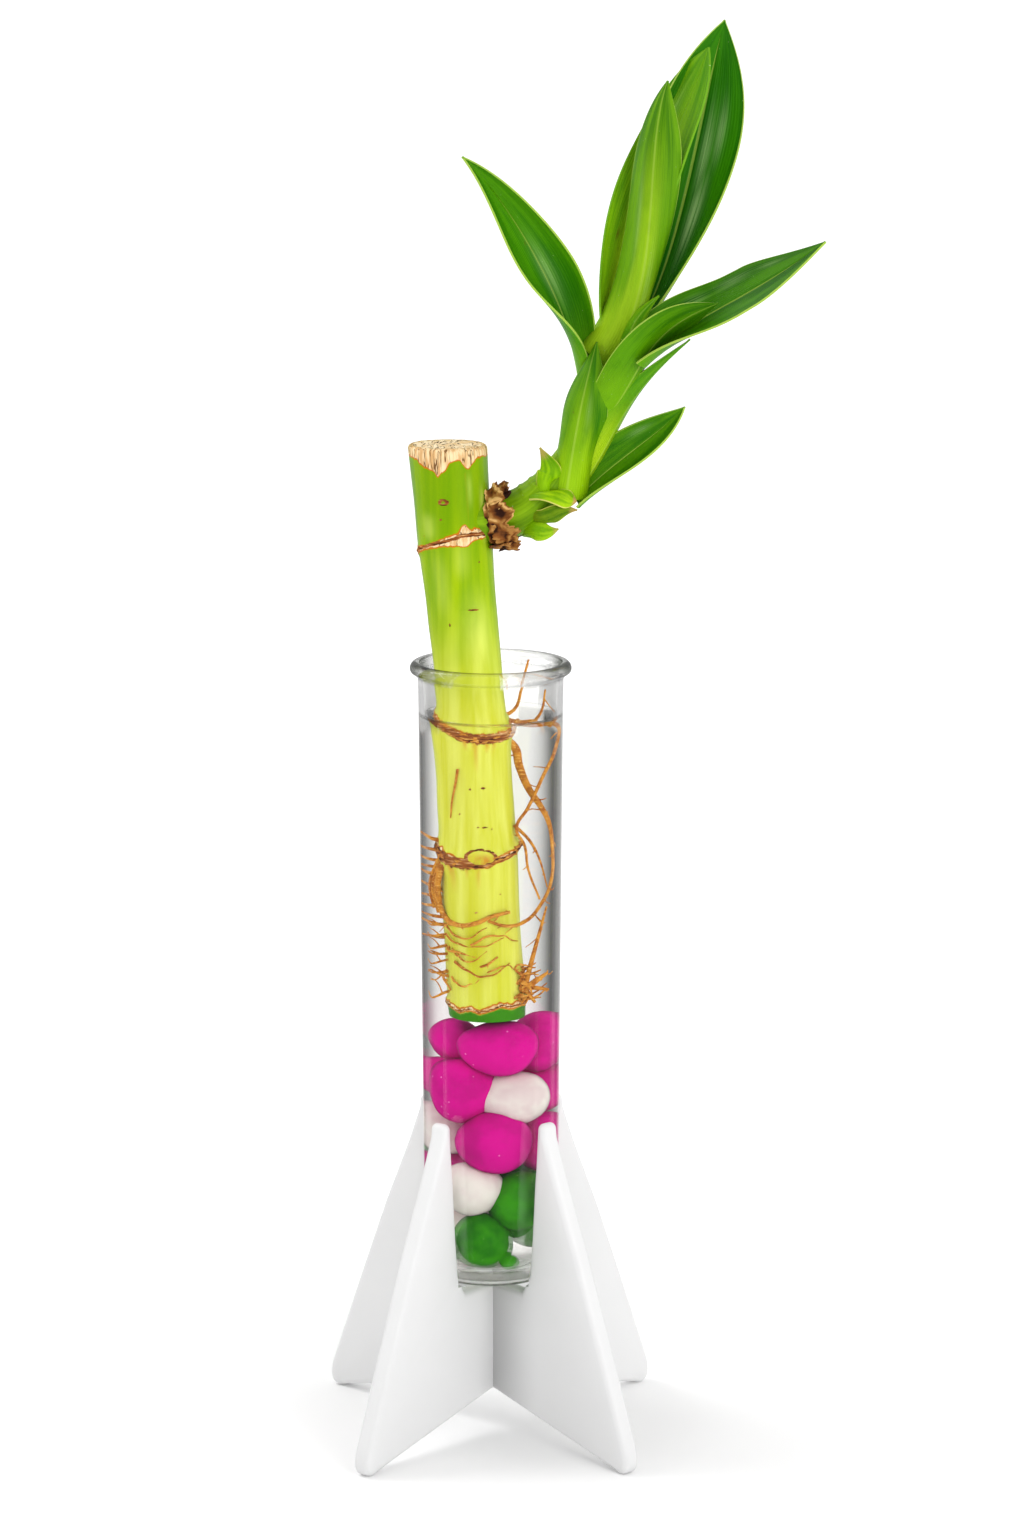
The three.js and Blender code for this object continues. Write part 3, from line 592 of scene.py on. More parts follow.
def fin(angle):
    outline = fin_outline()
    bpy.ops.object.select_all(action="DESELECT")
    bpy.ops.mesh.primitive_circle_add(vertices=len(outline), fill_type="NGON")
    piece = bpy.context.object
    turn = math.radians(angle)
    out = np.array((math.sin(turn), -math.cos(turn), 0.0))
    aside = np.array((math.cos(turn), math.sin(turn), 0.0))
    places = [out * r + np.array((STAND_SHIFT, 0, z)) - aside * FIN_THICKNESS / 2 for r, z in outline]
    put_points(piece, np.array(places) * MM + np.array(AXIS))
    bpy.ops.object.mode_set(mode="EDIT")
    bpy.ops.mesh.select_all(action="SELECT")
    bpy.ops.mesh.extrude_region_move(
        TRANSFORM_OT_translate={"value": tuple(aside * FIN_THICKNESS * MM)})
    bpy.ops.mesh.select_all(action="SELECT")
    bpy.ops.mesh.normals_make_consistent(inside=False)
    bpy.ops.object.mode_set(mode="OBJECT")
    rounding = piece.modifiers.new("rounding", "BEVEL")
    rounding.width = FIN_ROUNDING * MM
    rounding.segments = 5
    rounding.use_clamp_overlap = False
    rounding.limit_method = "ANGLE"
    rounding.angle_limit = math.radians(60)
    bpy.ops.object.modifier_apply(modifier=rounding.name)
    return piece


def cut(piece, other, operation):
    pick(piece)
    joint = piece.modifiers.new("joint", "BOOLEAN")
    joint.operation = operation
    joint.object = other
    joint.solver = "EXACT"
    bpy.ops.object.modifier_apply(modifier=joint.name)
    bpy.data.objects.remove(other)


def build_stand():
    fins = [fin(angle) for angle in FIN_ANGLES]
    stand = fins[0]
    for other in fins[1:]:
        cut(stand, other, "UNION")
    foot = (tube_radius(TUBE_BOTTOM) + ROOM_BESIDE_FOOT, TUBE_BOTTOM - ROOM_BELOW)
    room = turned("room", [foot, (TUBE_RADIUS + ROOM_BESIDE_TOP, TAPER_TOP)], 128)
    cut(stand, room, "DIFFERENCE")
    stand.name = "stand_moulding"
    pick(stand)
    bpy.ops.object.shade_smooth_by_angle(angle=math.radians(30))
    dress(stand, moulded_material(), "white_plastic", "stand")


# Glass tube and water

def arc(centre, radius, start, end, steps):
    """Points round part of a circle, in degrees from straight down, towards the outside."""
    turns = [math.radians(start + (end - start) * i / steps) for i in range(steps + 1)]
    return [(centre[0] + radius * math.sin(t), centre[1] - radius * math.cos(t)) for t in turns]


ROUND_SIDES = 160
FOOT_CORNER = 2.5
BORE_CORNER = 3.0
LIP_BEAD = 1.4
# Above and below these heights the glass is drawn as an open face
OPEN_LIP = 160.4
OPEN_FOOT = 36.8
# How far the water reaches into the glass wall, so that no film of air shows
OVERLAP = 0.3
# The water's climb at the wall: how far in from its rim, and how far up
MENISCUS = ((0.0, 1.0), (0.35, 0.95), (0.6, 0.6), (1.0, 0.28), (1.6, 0.08), (2.4, 0.0))


def build_glass():
    foot = tube_radius(TUBE_BOTTOM)
    floor = TUBE_BOTTOM + BASE
    inside = tube_radius(floor) - WALL
    heights = (50, 70, 90, 110, 130, 150, 158)
    profile = [(6.0, TUBE_BOTTOM + 0.3), (foot - 3.6, TUBE_BOTTOM + 0.15)]
    profile += arc((foot - FOOT_CORNER, TUBE_BOTTOM + FOOT_CORNER), FOOT_CORNER, 0, 90, 8)
    profile += [(tube_radius(z), z) for z in heights]
    profile += [(15.02, 160.2), (15.15, 160.9)]
    profile += arc((15.25, LIP_TOP - LIP_BEAD), LIP_BEAD, 60, 200, 14)
    profile += [(14.35, LIP_TOP - 1.0), (14.0, LIP_TOP - 2.2), (13.9, LIP_TOP - 3.6)]
    profile += [(tube_radius(z) - WALL, z) for z in reversed(heights)]
    profile += reversed(arc((inside - BORE_CORNER, floor + BORE_CORNER), BORE_CORNER, 0, 90, 8))
    profile += [(5.0, floor - 0.2)]
    tube = turned("glass_vase", profile, ROUND_SIDES)
    z = points_of(tube)[:, 2] / MM
    paint(tube, "open_face", np.maximum(smooth((z - OPEN_LIP) / 0.8), smooth((OPEN_FOOT - z) / 0.6)))
    dress(tube, clear_material("clear glass", 1.5, 0.6, 1.0), "clear_glass", "glass_tube")


def build_water():
    floor = TUBE_BOTTOM + BASE - OVERLAP
    corner = BORE_CORNER + 0.2
    inside = tube_radius(floor) - WALL + OVERLAP
    rim = tube_radius(WATER_LEVEL) - WALL + OVERLAP
    profile = [(5.0, floor - 0.2)]
    profile += arc((inside - corner, floor + corner), corner, 0, 90, 8)
    profile += [(tube_radius(z) - WALL + OVERLAP, z) for z in (50, 70, 90, 110, 130, 150)]
    profile += [(rim - inwards, WATER_LEVEL + up) for inwards, up in MENISCUS]
    profile += [(6.0, WATER_LEVEL), (1.0, WATER_LEVEL)]
    water = turned("still_water", profile, ROUND_SIDES)
    pick(water)
    bpy.ops.object.shade_smooth_by_angle(angle=math.radians(60))
    above = points_of(water)[:, 2] / MM - WATER_LEVEL
    paint(water, "open_face", (np.abs(above) < 0.09) + 0.5 * (above > 0.09))
    dress(water, clear_material("water", 1.33, 0.95, 0.1), "clear_water", "water")


# Cane: centre line and radius by height, and what marks its skin by angle and height.
# The angle is 0 at the front and 90 at the right.

CANE_TOP = 208.7
CANE_BOTTOM = 90.5
CANE_LINE = np.array([
    (CANE_BOTTOM, -0.7, -5.4, 6.6), (100, -1.1, -5.5, 6.8), (115, -1.9, -5.5, 6.8), (126, -2.3, -5.2, 6.7),
    (140, -2.9, -4.5, 6.6), (152, -3.6, -3.7, 6.8), (166, -5.0, -2.5, 7.0), (188, -7.2, -0.6, 7.5),
    (CANE_TOP, -8.8, 0.6, 8.1)])


def cane_at(z):
    return [np.interp(z, CANE_LINE[:, 0], CANE_LINE[:, k]) for k in (1, 2, 3)]


def round_line(angle, marks):
    """Heights given at some angles, read at any angle right round."""
    angles, heights = zip(*marks)
    return np.interp(angle, angles, heights, period=360.0)


# Rings: the line itself, and how far skin is peeled above and below it
RINGS = [
    {"line": [(-90, 186.9), (-42, 188.7), (-14, 190.0), (14, 191.0), (40, 191.3), (90, 190.4), (180, 188.0)],
     "above": [(-90, 1.4), (-80, 0.7), (-50, 0.2), (-14, 0.4), (6, 0.8), (18, 2.0), (26, 1.3), (40, 0.9),
               (60, 0.6), (180, 0.4)],
     "below": [(-90, 0.6), (-50, 0.4), (-20, 0.8), (0, 1.9), (12, 2.2), (28, 1.5), (50, 0.8), (180, 0.4)],
     "core": [(-90, 0.3), (0, 0.4), (60, 0.45), (180, 0.3)], "swell": 0.35},
    {"line": [(-90, 153.4), (-48, 151.7), (-20, 150.2), (12, 149.6), (50, 149.9), (90, 151.2), (180, 155.2)],
     "above": [(-180, 0.7), (0, 0.9), (180, 0.7)],
     "below": [(-180, 0.5), (0, 0.5), (180, 0.5)],
     "core": [(-90, 0.7), (-40, 0.9), (0, 1.15), (60, 1.0), (180, 0.8)], "swell": 0.75},
    {"line": [(-90, 125.4), (-56, 124.2), (-15, 123.8), (18, 124.2), (48, 125.4), (90, 126.8), (180, 127.4)],
     "above": [(-120, 1.8), (-70, 1.6), (-40, 1.0), (0, 0.6), (60, 0.5), (180, 0.8)],
     "below": [(-120, 0.9), (-40, 0.7), (30, 0.4), (180, 0.5)],
     "core": [(-90, 1.5), (-50, 1.35), (-15, 1.1), (20, 0.6), (60, 0.4), (180, 0.7)], "swell": 0.85},
    {"line": [(-90, 93.6), (-64, 93.2), (-47, 92.5), (-26, 93.4), (-11, 92.7), (6, 93.4), (23, 94.1),
              (43, 93.5), (79, 94.2), (180, 93.8)],
     "above": [(-180, 0.6), (0, 0.45), (60, 0.7), (180, 0.6)],
     "below": [(-180, 0.3), (0, 0.3), (180, 0.3)],
     "core": [(0, 0.2)], "swell": 0.5},
]
# Lower edge of the tan band under the cut
CUT_BAND = [
    (-180, 206.0), (-120, 205.4), (-90, 206.8), (-52, 206.2), (-38, 204.9), (-24, 204.3),
    (-16, 203.0), (-6, 204.4), (4, 206.0), (18, 206.6), (23, 205.0), (31, 204.6), (40, 205.9),
    (53, 206.9), (77, 206.8), (110, 205.2), (140, 206.4)]
# Scars: angle, height, half width in mm along the ring, half height
SCARS = [
    (-18, 194.2, 0.35, 0.35), (20, 175.9, 1.5, 0.28), (-21, 172.8, 0.3, 0.5),
    (-9, 139.4, 0.5, 0.3), (13, 139.6, 0.7, 0.35), (12, 131.4, 0.9, 0.25), (1, 131.6, 0.4, 0.25),
    (-30, 134.0, 0.3, 0.3), (24, 131.0, 0.3, 0.25), (-52, 190.5, 0.25, 0.25), (34, 117.5, 0.3, 0.3),
    (-8, 113.8, 0.5, 0.3), (38, 185.5, 0.3, 0.2),
]
# Paler patches of the dry skin and painted highlights: angle, height, half width, half height, strength
GLEAMS = [(53, 195.0, 0.6, 5.0, 0.8), (-41, 192.6, 1.5, 2.4, 0.5), (-30, 181.0, 2.0, 6.0, 0.3),
          (8, 186.0, 1.6, 3.5, 0.45), (30, 200.0, 0.5, 3.0, 0.35)]
# Heights at which the cane bulges a little, at its rings
BULGES = (190.0, 151.0, 124.5, 94.0)
# Stain streaks running down the skin: angle, top, bottom, half width
STREAKS = [
    (3, 149.0, 142.5, 0.45), (22, 149.0, 146.6, 0.4), (-12, 149.5, 147.0, 0.4), (34, 149.5, 145.8, 0.35),
    (-3, 123.2, 118.2, 0.4), (-50, 123.5, 117.0, 0.9), (-20, 123.0, 120.5, 0.3), (24, 203.8, 193.0, 0.12),
]


def around(angle, centre, radius):
    """How far an angle is from a centre, in mm along the skin."""
    return (np.mod(angle - centre + 180.0, 360.0) - 180.0) * np.pi / 180.0 * radius


def rough_noise(points, scale, seed=0.0):
    return np.array([noise.noise(Vector(p) * scale + Vector((seed, seed, seed))) for p in points])


def capped(v, cap):
    """How far up the wall of a closed skin, and how far out from its axis, for a way v."""
    wall = np.clip((v - cap) / (1 - 2 * cap), 0, 1)
    out = np.where(v < cap, v / cap, np.where(v > 1 - cap, (1 - v) / cap, 1.0))
    return wall, out


TRUNK_CAP = 0.03
STEM_CAP = 0.02
SKIN_RADIUS = 7.0


def trunk_surface(u, v):
    wall, inset = capped(v, TRUNK_CAP)
    z = CANE_BOTTOM + (CANE_TOP - CANE_BOTTOM) * wall
    angle = -180.0 + 360.0 * u
    turn = np.radians(angle)
    x, y, radius = cane_at(z)
    ring = np.stack([np.sin(turn), -np.cos(turn), z / 14.0], axis=1)
    radius = radius + 0.16 * rough_noise(ring, 1.3) + 0.05 * rough_noise(ring * (6, 6, 2), 1.0, 5.0)
    bumpy = 1.0 + 0.8 * rough_noise(ring * (3, 3, 14), 2.0, 9.0)
    for mark in RINGS:
        away = z - round_line(angle, mark["line"])
        core = round_line(angle, mark["core"])
        radius = radius + mark["swell"] * np.exp(-(away / (core + 0.6)) ** 2) * bumpy
    radius = radius + sum(0.18 * np.exp(-((z - k) / 5.0) ** 2) for k in BULGES)
    for centre, middle, wide, tall in SCARS:
        spot = (around(angle, centre, SKIN_RADIUS) / wide) ** 2 + ((z - middle) / tall) ** 2
        radius = radius + 0.12 * min(1.0, wide) * np.exp(-(spot - 1.0) ** 2)
    # The top is rounded at its edge, uneven and a little hollow
    radius = radius - 0.45 * (1 - np.clip((CANE_TOP - z) / 0.8, 0, 1)) ** 2
    flat = np.stack([np.sin(turn) * inset * 4, np.cos(turn) * inset * 4, z * 0], 1)
    top = v > 1 - TRUNK_CAP
    face = np.where(top, 1 - inset, 0.0)
    lift = 0.35 * rough_noise(flat, 1.6) * np.minimum(1, face * 8) - 0.5 * smooth(face * 3) * inset
    z = z + np.where(top, lift, 0.0)
    return np.stack([x + radius * inset * np.sin(turn), y - radius * inset * np.cos(turn), z], axis=1)


def ring_marks(angle, z, wander):
    """Peeled skin and brown lines, painted by angle and height."""
    peel = z - round_line(angle, CUT_BAND) + 0.5 * wander
    brown = np.zeros(len(z))
    for mark in RINGS:
        away = z - round_line(angle, mark["line"])
        above = round_line(angle, mark["above"]) * (1 + 0.5 * wander)
        below = round_line(angle, mark["below"]) * (1 + 0.5 * wander)
        core = round_line(angle, mark["core"]) * 1.25
        peel = np.maximum(peel, np.where(away > 0, above - away, below + away))
        brown = np.maximum(brown, 1.25 - np.abs(away + 0.3 * wander) / core)
    for centre, middle, wide, tall in SCARS:
        spot = np.hypot(around(angle, centre, SKIN_RADIUS) / wide, (z - middle) / tall)
        brown = np.maximum(brown, 1.3 - spot)
    return peel, brown


def stain_marks(angle, z):
    stain = np.zeros(len(z))
    for centre, top, bottom, wide in STREAKS:
        run = np.clip((top - z) / (top - bottom), 0, 1)
        streak = (1 - run) * np.exp(-(around(angle, centre, SKIN_RADIUS) / wide) ** 2)
        stain = np.maximum(stain, np.where((z < top) & (z > bottom), streak, 0.0))
    return stain


def pale_and_highlight_marks(angle, z):
    # A pale streak and patches, in part painted highlights
    pale = np.exp(-(around(angle, 26, SKIN_RADIUS) / 2.3) ** 2) * smooth((184.0 - z) / 16.0)
    for centre, middle, wide, tall, most in GLEAMS:
        gleam = np.exp(-(around(angle, centre, 7.4) / wide) ** 2 - np.abs((z - middle) / tall) ** 3)
        pale = np.maximum(pale, most * gleam)
    return pale


def build_trunk():
    trunk = grid_sheet("cane_trunk", 132, 340, trunk_surface)
    close_seam(trunk)
    places = (points_of(trunk) - np.array(AXIS)) / MM
    z = places[:, 2]
    x, y, radius = cane_at(z)
    reach = np.hypot(places[:, 0] - x, places[:, 1] - y)
    angle = np.degrees(np.arctan2(places[:, 0] - x, -(places[:, 1] - y)))
    ring = np.stack([np.sin(np.radians(angle)), np.cos(np.radians(angle)), z / 8.0], axis=1)
    peel, brown = ring_marks(angle, z, rough_noise(ring * (5, 5, 3), 1.5, 3.0))
    stain = stain_marks(angle, z)
    # The bud scar on the third ring: a brown lens with living skin inside
    bud = (around(angle, 3, 6.9) / 2.9) ** 2 + ((z - 125.3) / 1.6) ** 2
    inside = (z > round_line(angle, RINGS[2]["line"])) & (bud < 1.25)
    brown = np.where(inside, np.clip(1.3 - np.abs(bud - 1.0) / 0.34, 0, 1), brown)
    peel = np.where(inside, -1.0, peel)
    stain = np.maximum(stain, np.where(inside, smooth((126.6 - z) / 2.0), 0.0))
    # The round eye above the first ring
    eye = np.hypot(around(angle, -12, 7.2) / 1.25, (z - 197.8) / 0.8)
    brown = np.where(eye < 1.5, np.clip(1.15 - np.abs(eye - 0.6) / 0.42, 0, 1), brown)
    olive = np.exp(-(around(angle, -2, 6.8) / 3.0) ** 2 - ((z - 107.0) / 7.0) ** 2)
    green_foot = np.clip((round_line(angle, RINGS[3]["line"]) - 0.3 - z) / 0.4, 0, 1)
    cut_face = np.where(z > CANE_TOP - 1.3, np.clip((radius - 0.9 - reach) / 0.5, 0, 1), 0.0)
    for name, values in (
            ("peel", np.clip(peel, -1.5, 1.5)), ("brown", np.clip(brown, 0, 1)), ("stain", stain),
            ("pale", pale_and_highlight_marks(angle, z)), ("olive", olive), ("green_foot", green_foot),
            ("cut_face", cut_face)):
        paint(trunk, name, values)
    return trunk


SHOOT_LINE = [
    (-4, -1.5, 193.2), (1.5, -1.2, 193.8), (6.2, -1.3, 195.4), (11, -1.6, 199.3),
    (15.5, -2.2, 205.5), (19.5, -2.4, 213), (23, -1.5, 221.5), (25.6, 0, 229)]
SHOOT_RADII = [
    (0, 5.0), (0.15, 4.9), (0.28, 4.4), (0.4, 3.6), (0.55, 2.8), (0.7, 2.2), (0.85, 1.7), (1, 1.2)]
SHOOT_RINGS = (0.27, 0.33, 0.38)


def along_line(points, t):
    """Places and directions on a smooth line through the points, t from 0 to 1."""
    knots = np.array(points, float)
    steps = np.concatenate([[0], np.cumsum(np.linalg.norm(np.diff(knots, axis=0), axis=1))])
    steps /= steps[-1]
    slopes = np.gradient(knots, steps, axis=0)
    i = np.clip(np.searchsorted(steps, t) - 1, 0, len(knots) - 2)
    gap = (steps[i + 1] - steps[i])[:, None]
    s = ((t - steps[i]) / (steps[i + 1] - steps[i]))[:, None]
    a, b, m, n = knots[i], knots[i + 1], slopes[i] * gap, slopes[i + 1] * gap
    place = ((2 * s**3 - 3 * s**2 + 1) * a + (s**3 - 2 * s**2 + s) * m
             + (-2 * s**3 + 3 * s**2) * b + (s**3 - s**2) * n)
    way = ((6 * s**2 - 6 * s) * a + (3 * s**2 - 4 * s + 1) * m
           + (6 * s - 6 * s**2) * b + (3 * s**2 - 2 * s) * n)
    return place, unit(way)


def wrapped(points, t, angle, radius):
    """Places on a round skin about a line: angle 0 at the front, 90 at the right."""
    centre, way = along_line(points, t)
    front = np.tile(np.array((0.0, -1.0, 0.0)), (len(t), 1))
    front = unit(front - way * np.sum(front * way, axis=1, keepdims=True))
    right = np.cross(way, front) * -1.0
    turn = np.radians(angle)[:, None]
    return centre + (front * np.cos(turn) + right * np.sin(turn)) * radius[:, None]


def build_stem():
    share, width = zip(*SHOOT_RADII)

    def surface(u, v):
        t, inset = capped(v, STEM_CAP)
        radius = np.interp(t, share, width) - 0.05
        for ring in SHOOT_RINGS:
            radius = radius + 0.22 * np.exp(-((t - ring) / 0.008) ** 2)
        return wrapped(SHOOT_LINE, t, -180 + 360 * u, radius * inset)

    stem = grid_sheet("shoot_stem", 40, 120, surface)
    close_seam(stem)
    return stem


# Roots, from the cane to their tips: thickness at both ends, then the way
ROOTS = [
    (0.75, 0.3, [(1.5, -2, 149), (3.6, 0.5, 146.6), (4.4, 0, 142.6), (6.3, -2, 137.8),
                 (8.8, -4, 134.4), (10.6, -4.5, 131), (11.5, -4.5, 126), (11.4, -4.9, 119),
                 (9.6, -7, 114.6), (6.5, -10.4, 111.4), (3.1, -12, 110.9), (-0.5, -12.3, 112)]),
    (0.5, 0.22, [(1, -1.5, 152.6), (6, 2, 150.8), (10, 2.4, 150.4), (10.8, 0, 146.4),
                 (8.8, -4, 140.1), (6.6, -6.2, 134.6), (4.6, -7.2, 130.6), (6.2, -7.6, 127),
                 (6.9, -7.6, 122), (9.2, -7.2, 115.5)]),
    (0.35, 0.15, [(4.2, -6.8, 131.2), (6.7, -5.2, 127.8), (8.5, -5, 124.1), (10.2, -4.4, 117.5)]),
    (0.45, 0.22, [(0, -1, 153), (4.8, 3, 153.2), (6.4, 3.2, 158.5), (7.8, 3.2, 163.6)]),
    (0.4, 0.2, [(8.6, 2.5, 150.3), (10.6, 2.2, 153.2), (11.3, 2.2, 158)]),
    (0.85, 0.35, [(-7.6, -6, 124), (-9.5, -7, 121.4), (-9.7, -6.4, 115.4), (-8.6, -7.6, 111.9),
                  (-6.3, -10.2, 110.8), (-2.9, -12.2, 111.5), (0.3, -12.4, 113), (3.7, -11.2, 113.7)]),
    (0.4, 0.15, [(-6.5, -7.5, 106), (-8.2, -8.4, 105.3), (-6.1, -10.6, 105), (-3, -12.1, 104.3)]),
    (0.35, 0.18, [(-3.9, -10.8, 102.2), (-1.2, -12.4, 102.6), (1.4, -12, 104.4)]),
    (0.95, 0.3, [(4.2, -7, 96.6), (6.9, -8.2, 97.4), (9.4, -7.6, 98.9), (10.9, -6.2, 99.7)]),
    (0.6, 0.25, [(6.2, -7.9, 97.2), (9.3, -6.9, 96.6), (11.1, -5.8, 96)]),
    (0.6, 0.25, [(6.4, -8, 97.6), (8, -7.7, 104), (9.6, -7, 110), (10.6, -6.4, 113.8)]),
    (0.6, 0.3, [(6.2, -8, 97), (8.4, -7.8, 93.8)]),
    (0.5, 0.2, [(-5, -6, 100), (-8.6, -6.2, 99.8), (-7.6, -8.4, 96.6)]),
    (0.3, 0.15, [(-6.3, -10.5, 143.4), (-6.8, -10.2, 140.0), (-7.4, -9.6, 136.4), (-7.6, -9.2, 133.0)]),
]


def inside_tube(place, margin=0.5):
    """Keeps a root's point inside the bore."""
    x, y, z = place
    room = tube_radius(z) - WALL - margin
    far = math.hypot(x, y)
    return (x * room / far, y * room / far, z) if far > room else (x, y, z)


def on_cane(angle, z, off):
    """A place some millimetres off the cane's skin."""
    x, y, radius = (float(k) for k in cane_at(z))
    turn = math.radians(angle)
    return (x + (radius + off) * math.sin(turn), y - (radius + off) * math.cos(turn), z)


def rootlets(draw):
    """Short roots that leave the long ones."""
    strands = []
    for thick, _, way in ROOTS:
        for a, b in zip(way[1:], way[2:]):
            for _ in range(2 if thick > 0.5 else 1):
                share = draw.random()
                start = [p + (q - p) * share for p, q in zip(a, b)]
                reach = draw.uniform(1.2, 4.0)
                side = draw.uniform(-1, 1)
                down = draw.uniform(-0.9, 0.5)
                tip = (start[0] + side * reach, start[1] + draw.uniform(-0.6, 0.9) * reach,
                       start[2] + down * reach)
                middle = [(p + q) / 2 + draw.uniform(-0.4, 0.4) for p, q in zip(start, tip)]
                strands.append(strand([start, inside_tube(middle), inside_tube(tip)],
                                      draw.uniform(0.14, 0.24), 0.07, 1))
    return strands


def left_comb(draw):
    """The comb of short roots on the left, below the third ring."""
    strands = []
    for i in range(11):
        z = 127.6 - i * 2.0 + draw.uniform(-0.4, 0.4)
        x, y, radius = (float(k) for k in cane_at(z))
        left = x - radius
        droop = draw.uniform(-0.9, 0.6)
        way = [(left + 1.2, y + 0.2, z), (left - 0.8, y + 0.8, z + draw.uniform(-0.3, 0.4)),
               (left - 2.6, y + draw.uniform(2.0, 3.6), z + droop * 0.6),
               (-12.7, draw.uniform(-1.0, 1.6), z + droop)]
        strands.append(strand([inside_tube(p) for p in way], draw.uniform(0.38, 0.56), 0.2, 2))
    return strands


def left_bundle():
    """Thick strands that come down over the comb's foot."""
    strands = []
    for shift in (0.0, 0.9, 1.7):
        way = [(-8.8, -5.4 - shift, 124.6 - shift), (-10.4 + shift / 2, -5.2 - shift, 121.4),
               (-11.3 + shift / 2, -4.4 - shift, 117.6), (-10.6 + shift, -5.8 - shift / 2, 113.4 - shift)]
        strands.append(strand([inside_tube(p, 0.9) for p in way], 0.52, 0.42, 2))
    return strands


def left_wisps(draw):
    """Thin curled roots on the left, below the comb, each with a fork."""
    strands = []
    for i in range(9):
        z = 112.0 - i * 1.9 + draw.uniform(-0.5, 0.5)
        x, y, radius = (float(k) for k in cane_at(z))
        left = x - radius
        curl = draw.uniform(-1.6, 1.2)
        way = [(left + 0.8, y - 1.0, z), (left - 1.4, y - 1.6, z + curl / 2),
               (left - 2.8, y - 1.4, z + curl), (left - 4.2, y - 0.4, z + curl * 1.3),
               (left - 4.8, y + 0.6, z + curl * 0.6)]
        fork = [way[1], inside_tube((left - 2.6, y - 1.2, z - curl)),
                inside_tube((left - 3.9, y, z - curl * 1.4))]
        strands.append(strand([inside_tube(p) for p in way], draw.uniform(0.24, 0.38), 0.12, 1))
        strands.append(strand(fork, 0.2, 0.08, 1))
    return strands


def ring_hair(draw):
    """Hair wound round the second and third ring."""
    strands = []
    for marks, count, thick in ((RINGS[1]["line"], 16, 0.24), (RINGS[2]["line"], 20, 0.26)):
        for _ in range(count):
            start = draw.uniform(-200, 90)
            sweep = draw.uniform(35, 110)
            shift = draw.uniform(-0.8, 0.9)
            way = []
            for k in range(6):
                angle = start + sweep * k / 5
                z = float(round_line(angle, marks)) + shift + draw.uniform(-0.35, 0.35)
                way.append(on_cane(angle, z, 0.55 + draw.uniform(0, 0.35)))
            strands.append(strand(
                [inside_tube(p, 0.3) for p in way], thick * draw.uniform(0.6, 1.3), 0.12, 1))
    return strands


# Fine loops over the front of the lower cane: height, first and last angle, sag
LOOPS = [(110.6, -78, 8, 2.4), (108.4, -70, 34, 2.0), (105.4, -60, 6, 1.8), (103.0, -52, 44, 2.6),
         (107.0, -20, 62, -2.0), (101.0, 4, 60, -1.4), (99.6, -66, -10, 1.6)]


def front_loops(draw):
    strands = []
    for high, first, last, sag in LOOPS:
        way = []
        for k in range(8):
            t = k / 7
            z = high - sag * math.sin(math.pi * t) + draw.uniform(-0.3, 0.3)
            way.append(on_cane(first + (last - first) * t, z, 0.3 + 0.35 * math.sin(7 * t + high)))
        strands.append(strand([inside_tube(p, 0.3) for p in way], draw.uniform(0.2, 0.32), 0.1, 1))
    return strands


def foot_tangle(draw):
    """The tangle at the right of the cane's foot."""
    strands = []
    for _ in range(28):
        start = (4.8 + draw.uniform(-0.9, 1.6), -8.4 + draw.uniform(-1, 1.6),
                 96.8 + draw.uniform(-2.2, 3.4))
        middle = tuple(p + draw.uniform(-1.4, 1.8) for p in start)
        tip = (middle[0] + draw.uniform(-0.5, 4), middle[1] + draw.uniform(-1, 2),
               middle[2] + draw.uniform(-2.5, 3))
        strands.append(strand([start, inside_tube(middle), inside_tube(tip)],
                              draw.uniform(0.25, 0.6), 0.14, 1))
    return strands


def build_roots():
    draw = random.Random(7)
    strands = [strand([inside_tube(p, 0.8) for p in way], thick, thin, 3) for thick, thin, way in ROOTS]
    strands += rootlets(draw) + left_comb(draw) + left_bundle() + left_wisps(draw)
    strands += ring_hair(draw) + front_loops(draw) + foot_tangle(draw)
    return join_pieces("cane_roots", strands)


def build_cane():
    dress(build_trunk(), cane_material(), "cane_green", "cane")
    skin = look((92, 134, 0), (134, 176, 14), (104, 146, 4), 0.1, (150, 120, 60), 2.0, 0.0, 0.0, 3.0)
    dress(build_stem(), leaf_material("shoot skin", skin), "cane_green", "cane")
    dress(build_roots(), root_material(), "cane_green", "cane")


# Leaves and scales, as in the solids: midrib, half widths, the way the inner face looks,
# and how far the section turns

def look(deep, light, foot, foot_end=0.35, margin=(176, 204, 84), start=0.972, rib=0.3, dry=0.0,
         seed=0.0, glow=0.0):
    return {"Deep": tone(*deep), "Light": tone(*light), "Foot": tone(*foot), "Margin": tone(*margin),
            "Foot End": foot_end, "Margin Start": start, "Rib": rib, "Dry Tip": dry, "Seed": seed,
            "Glow": glow}


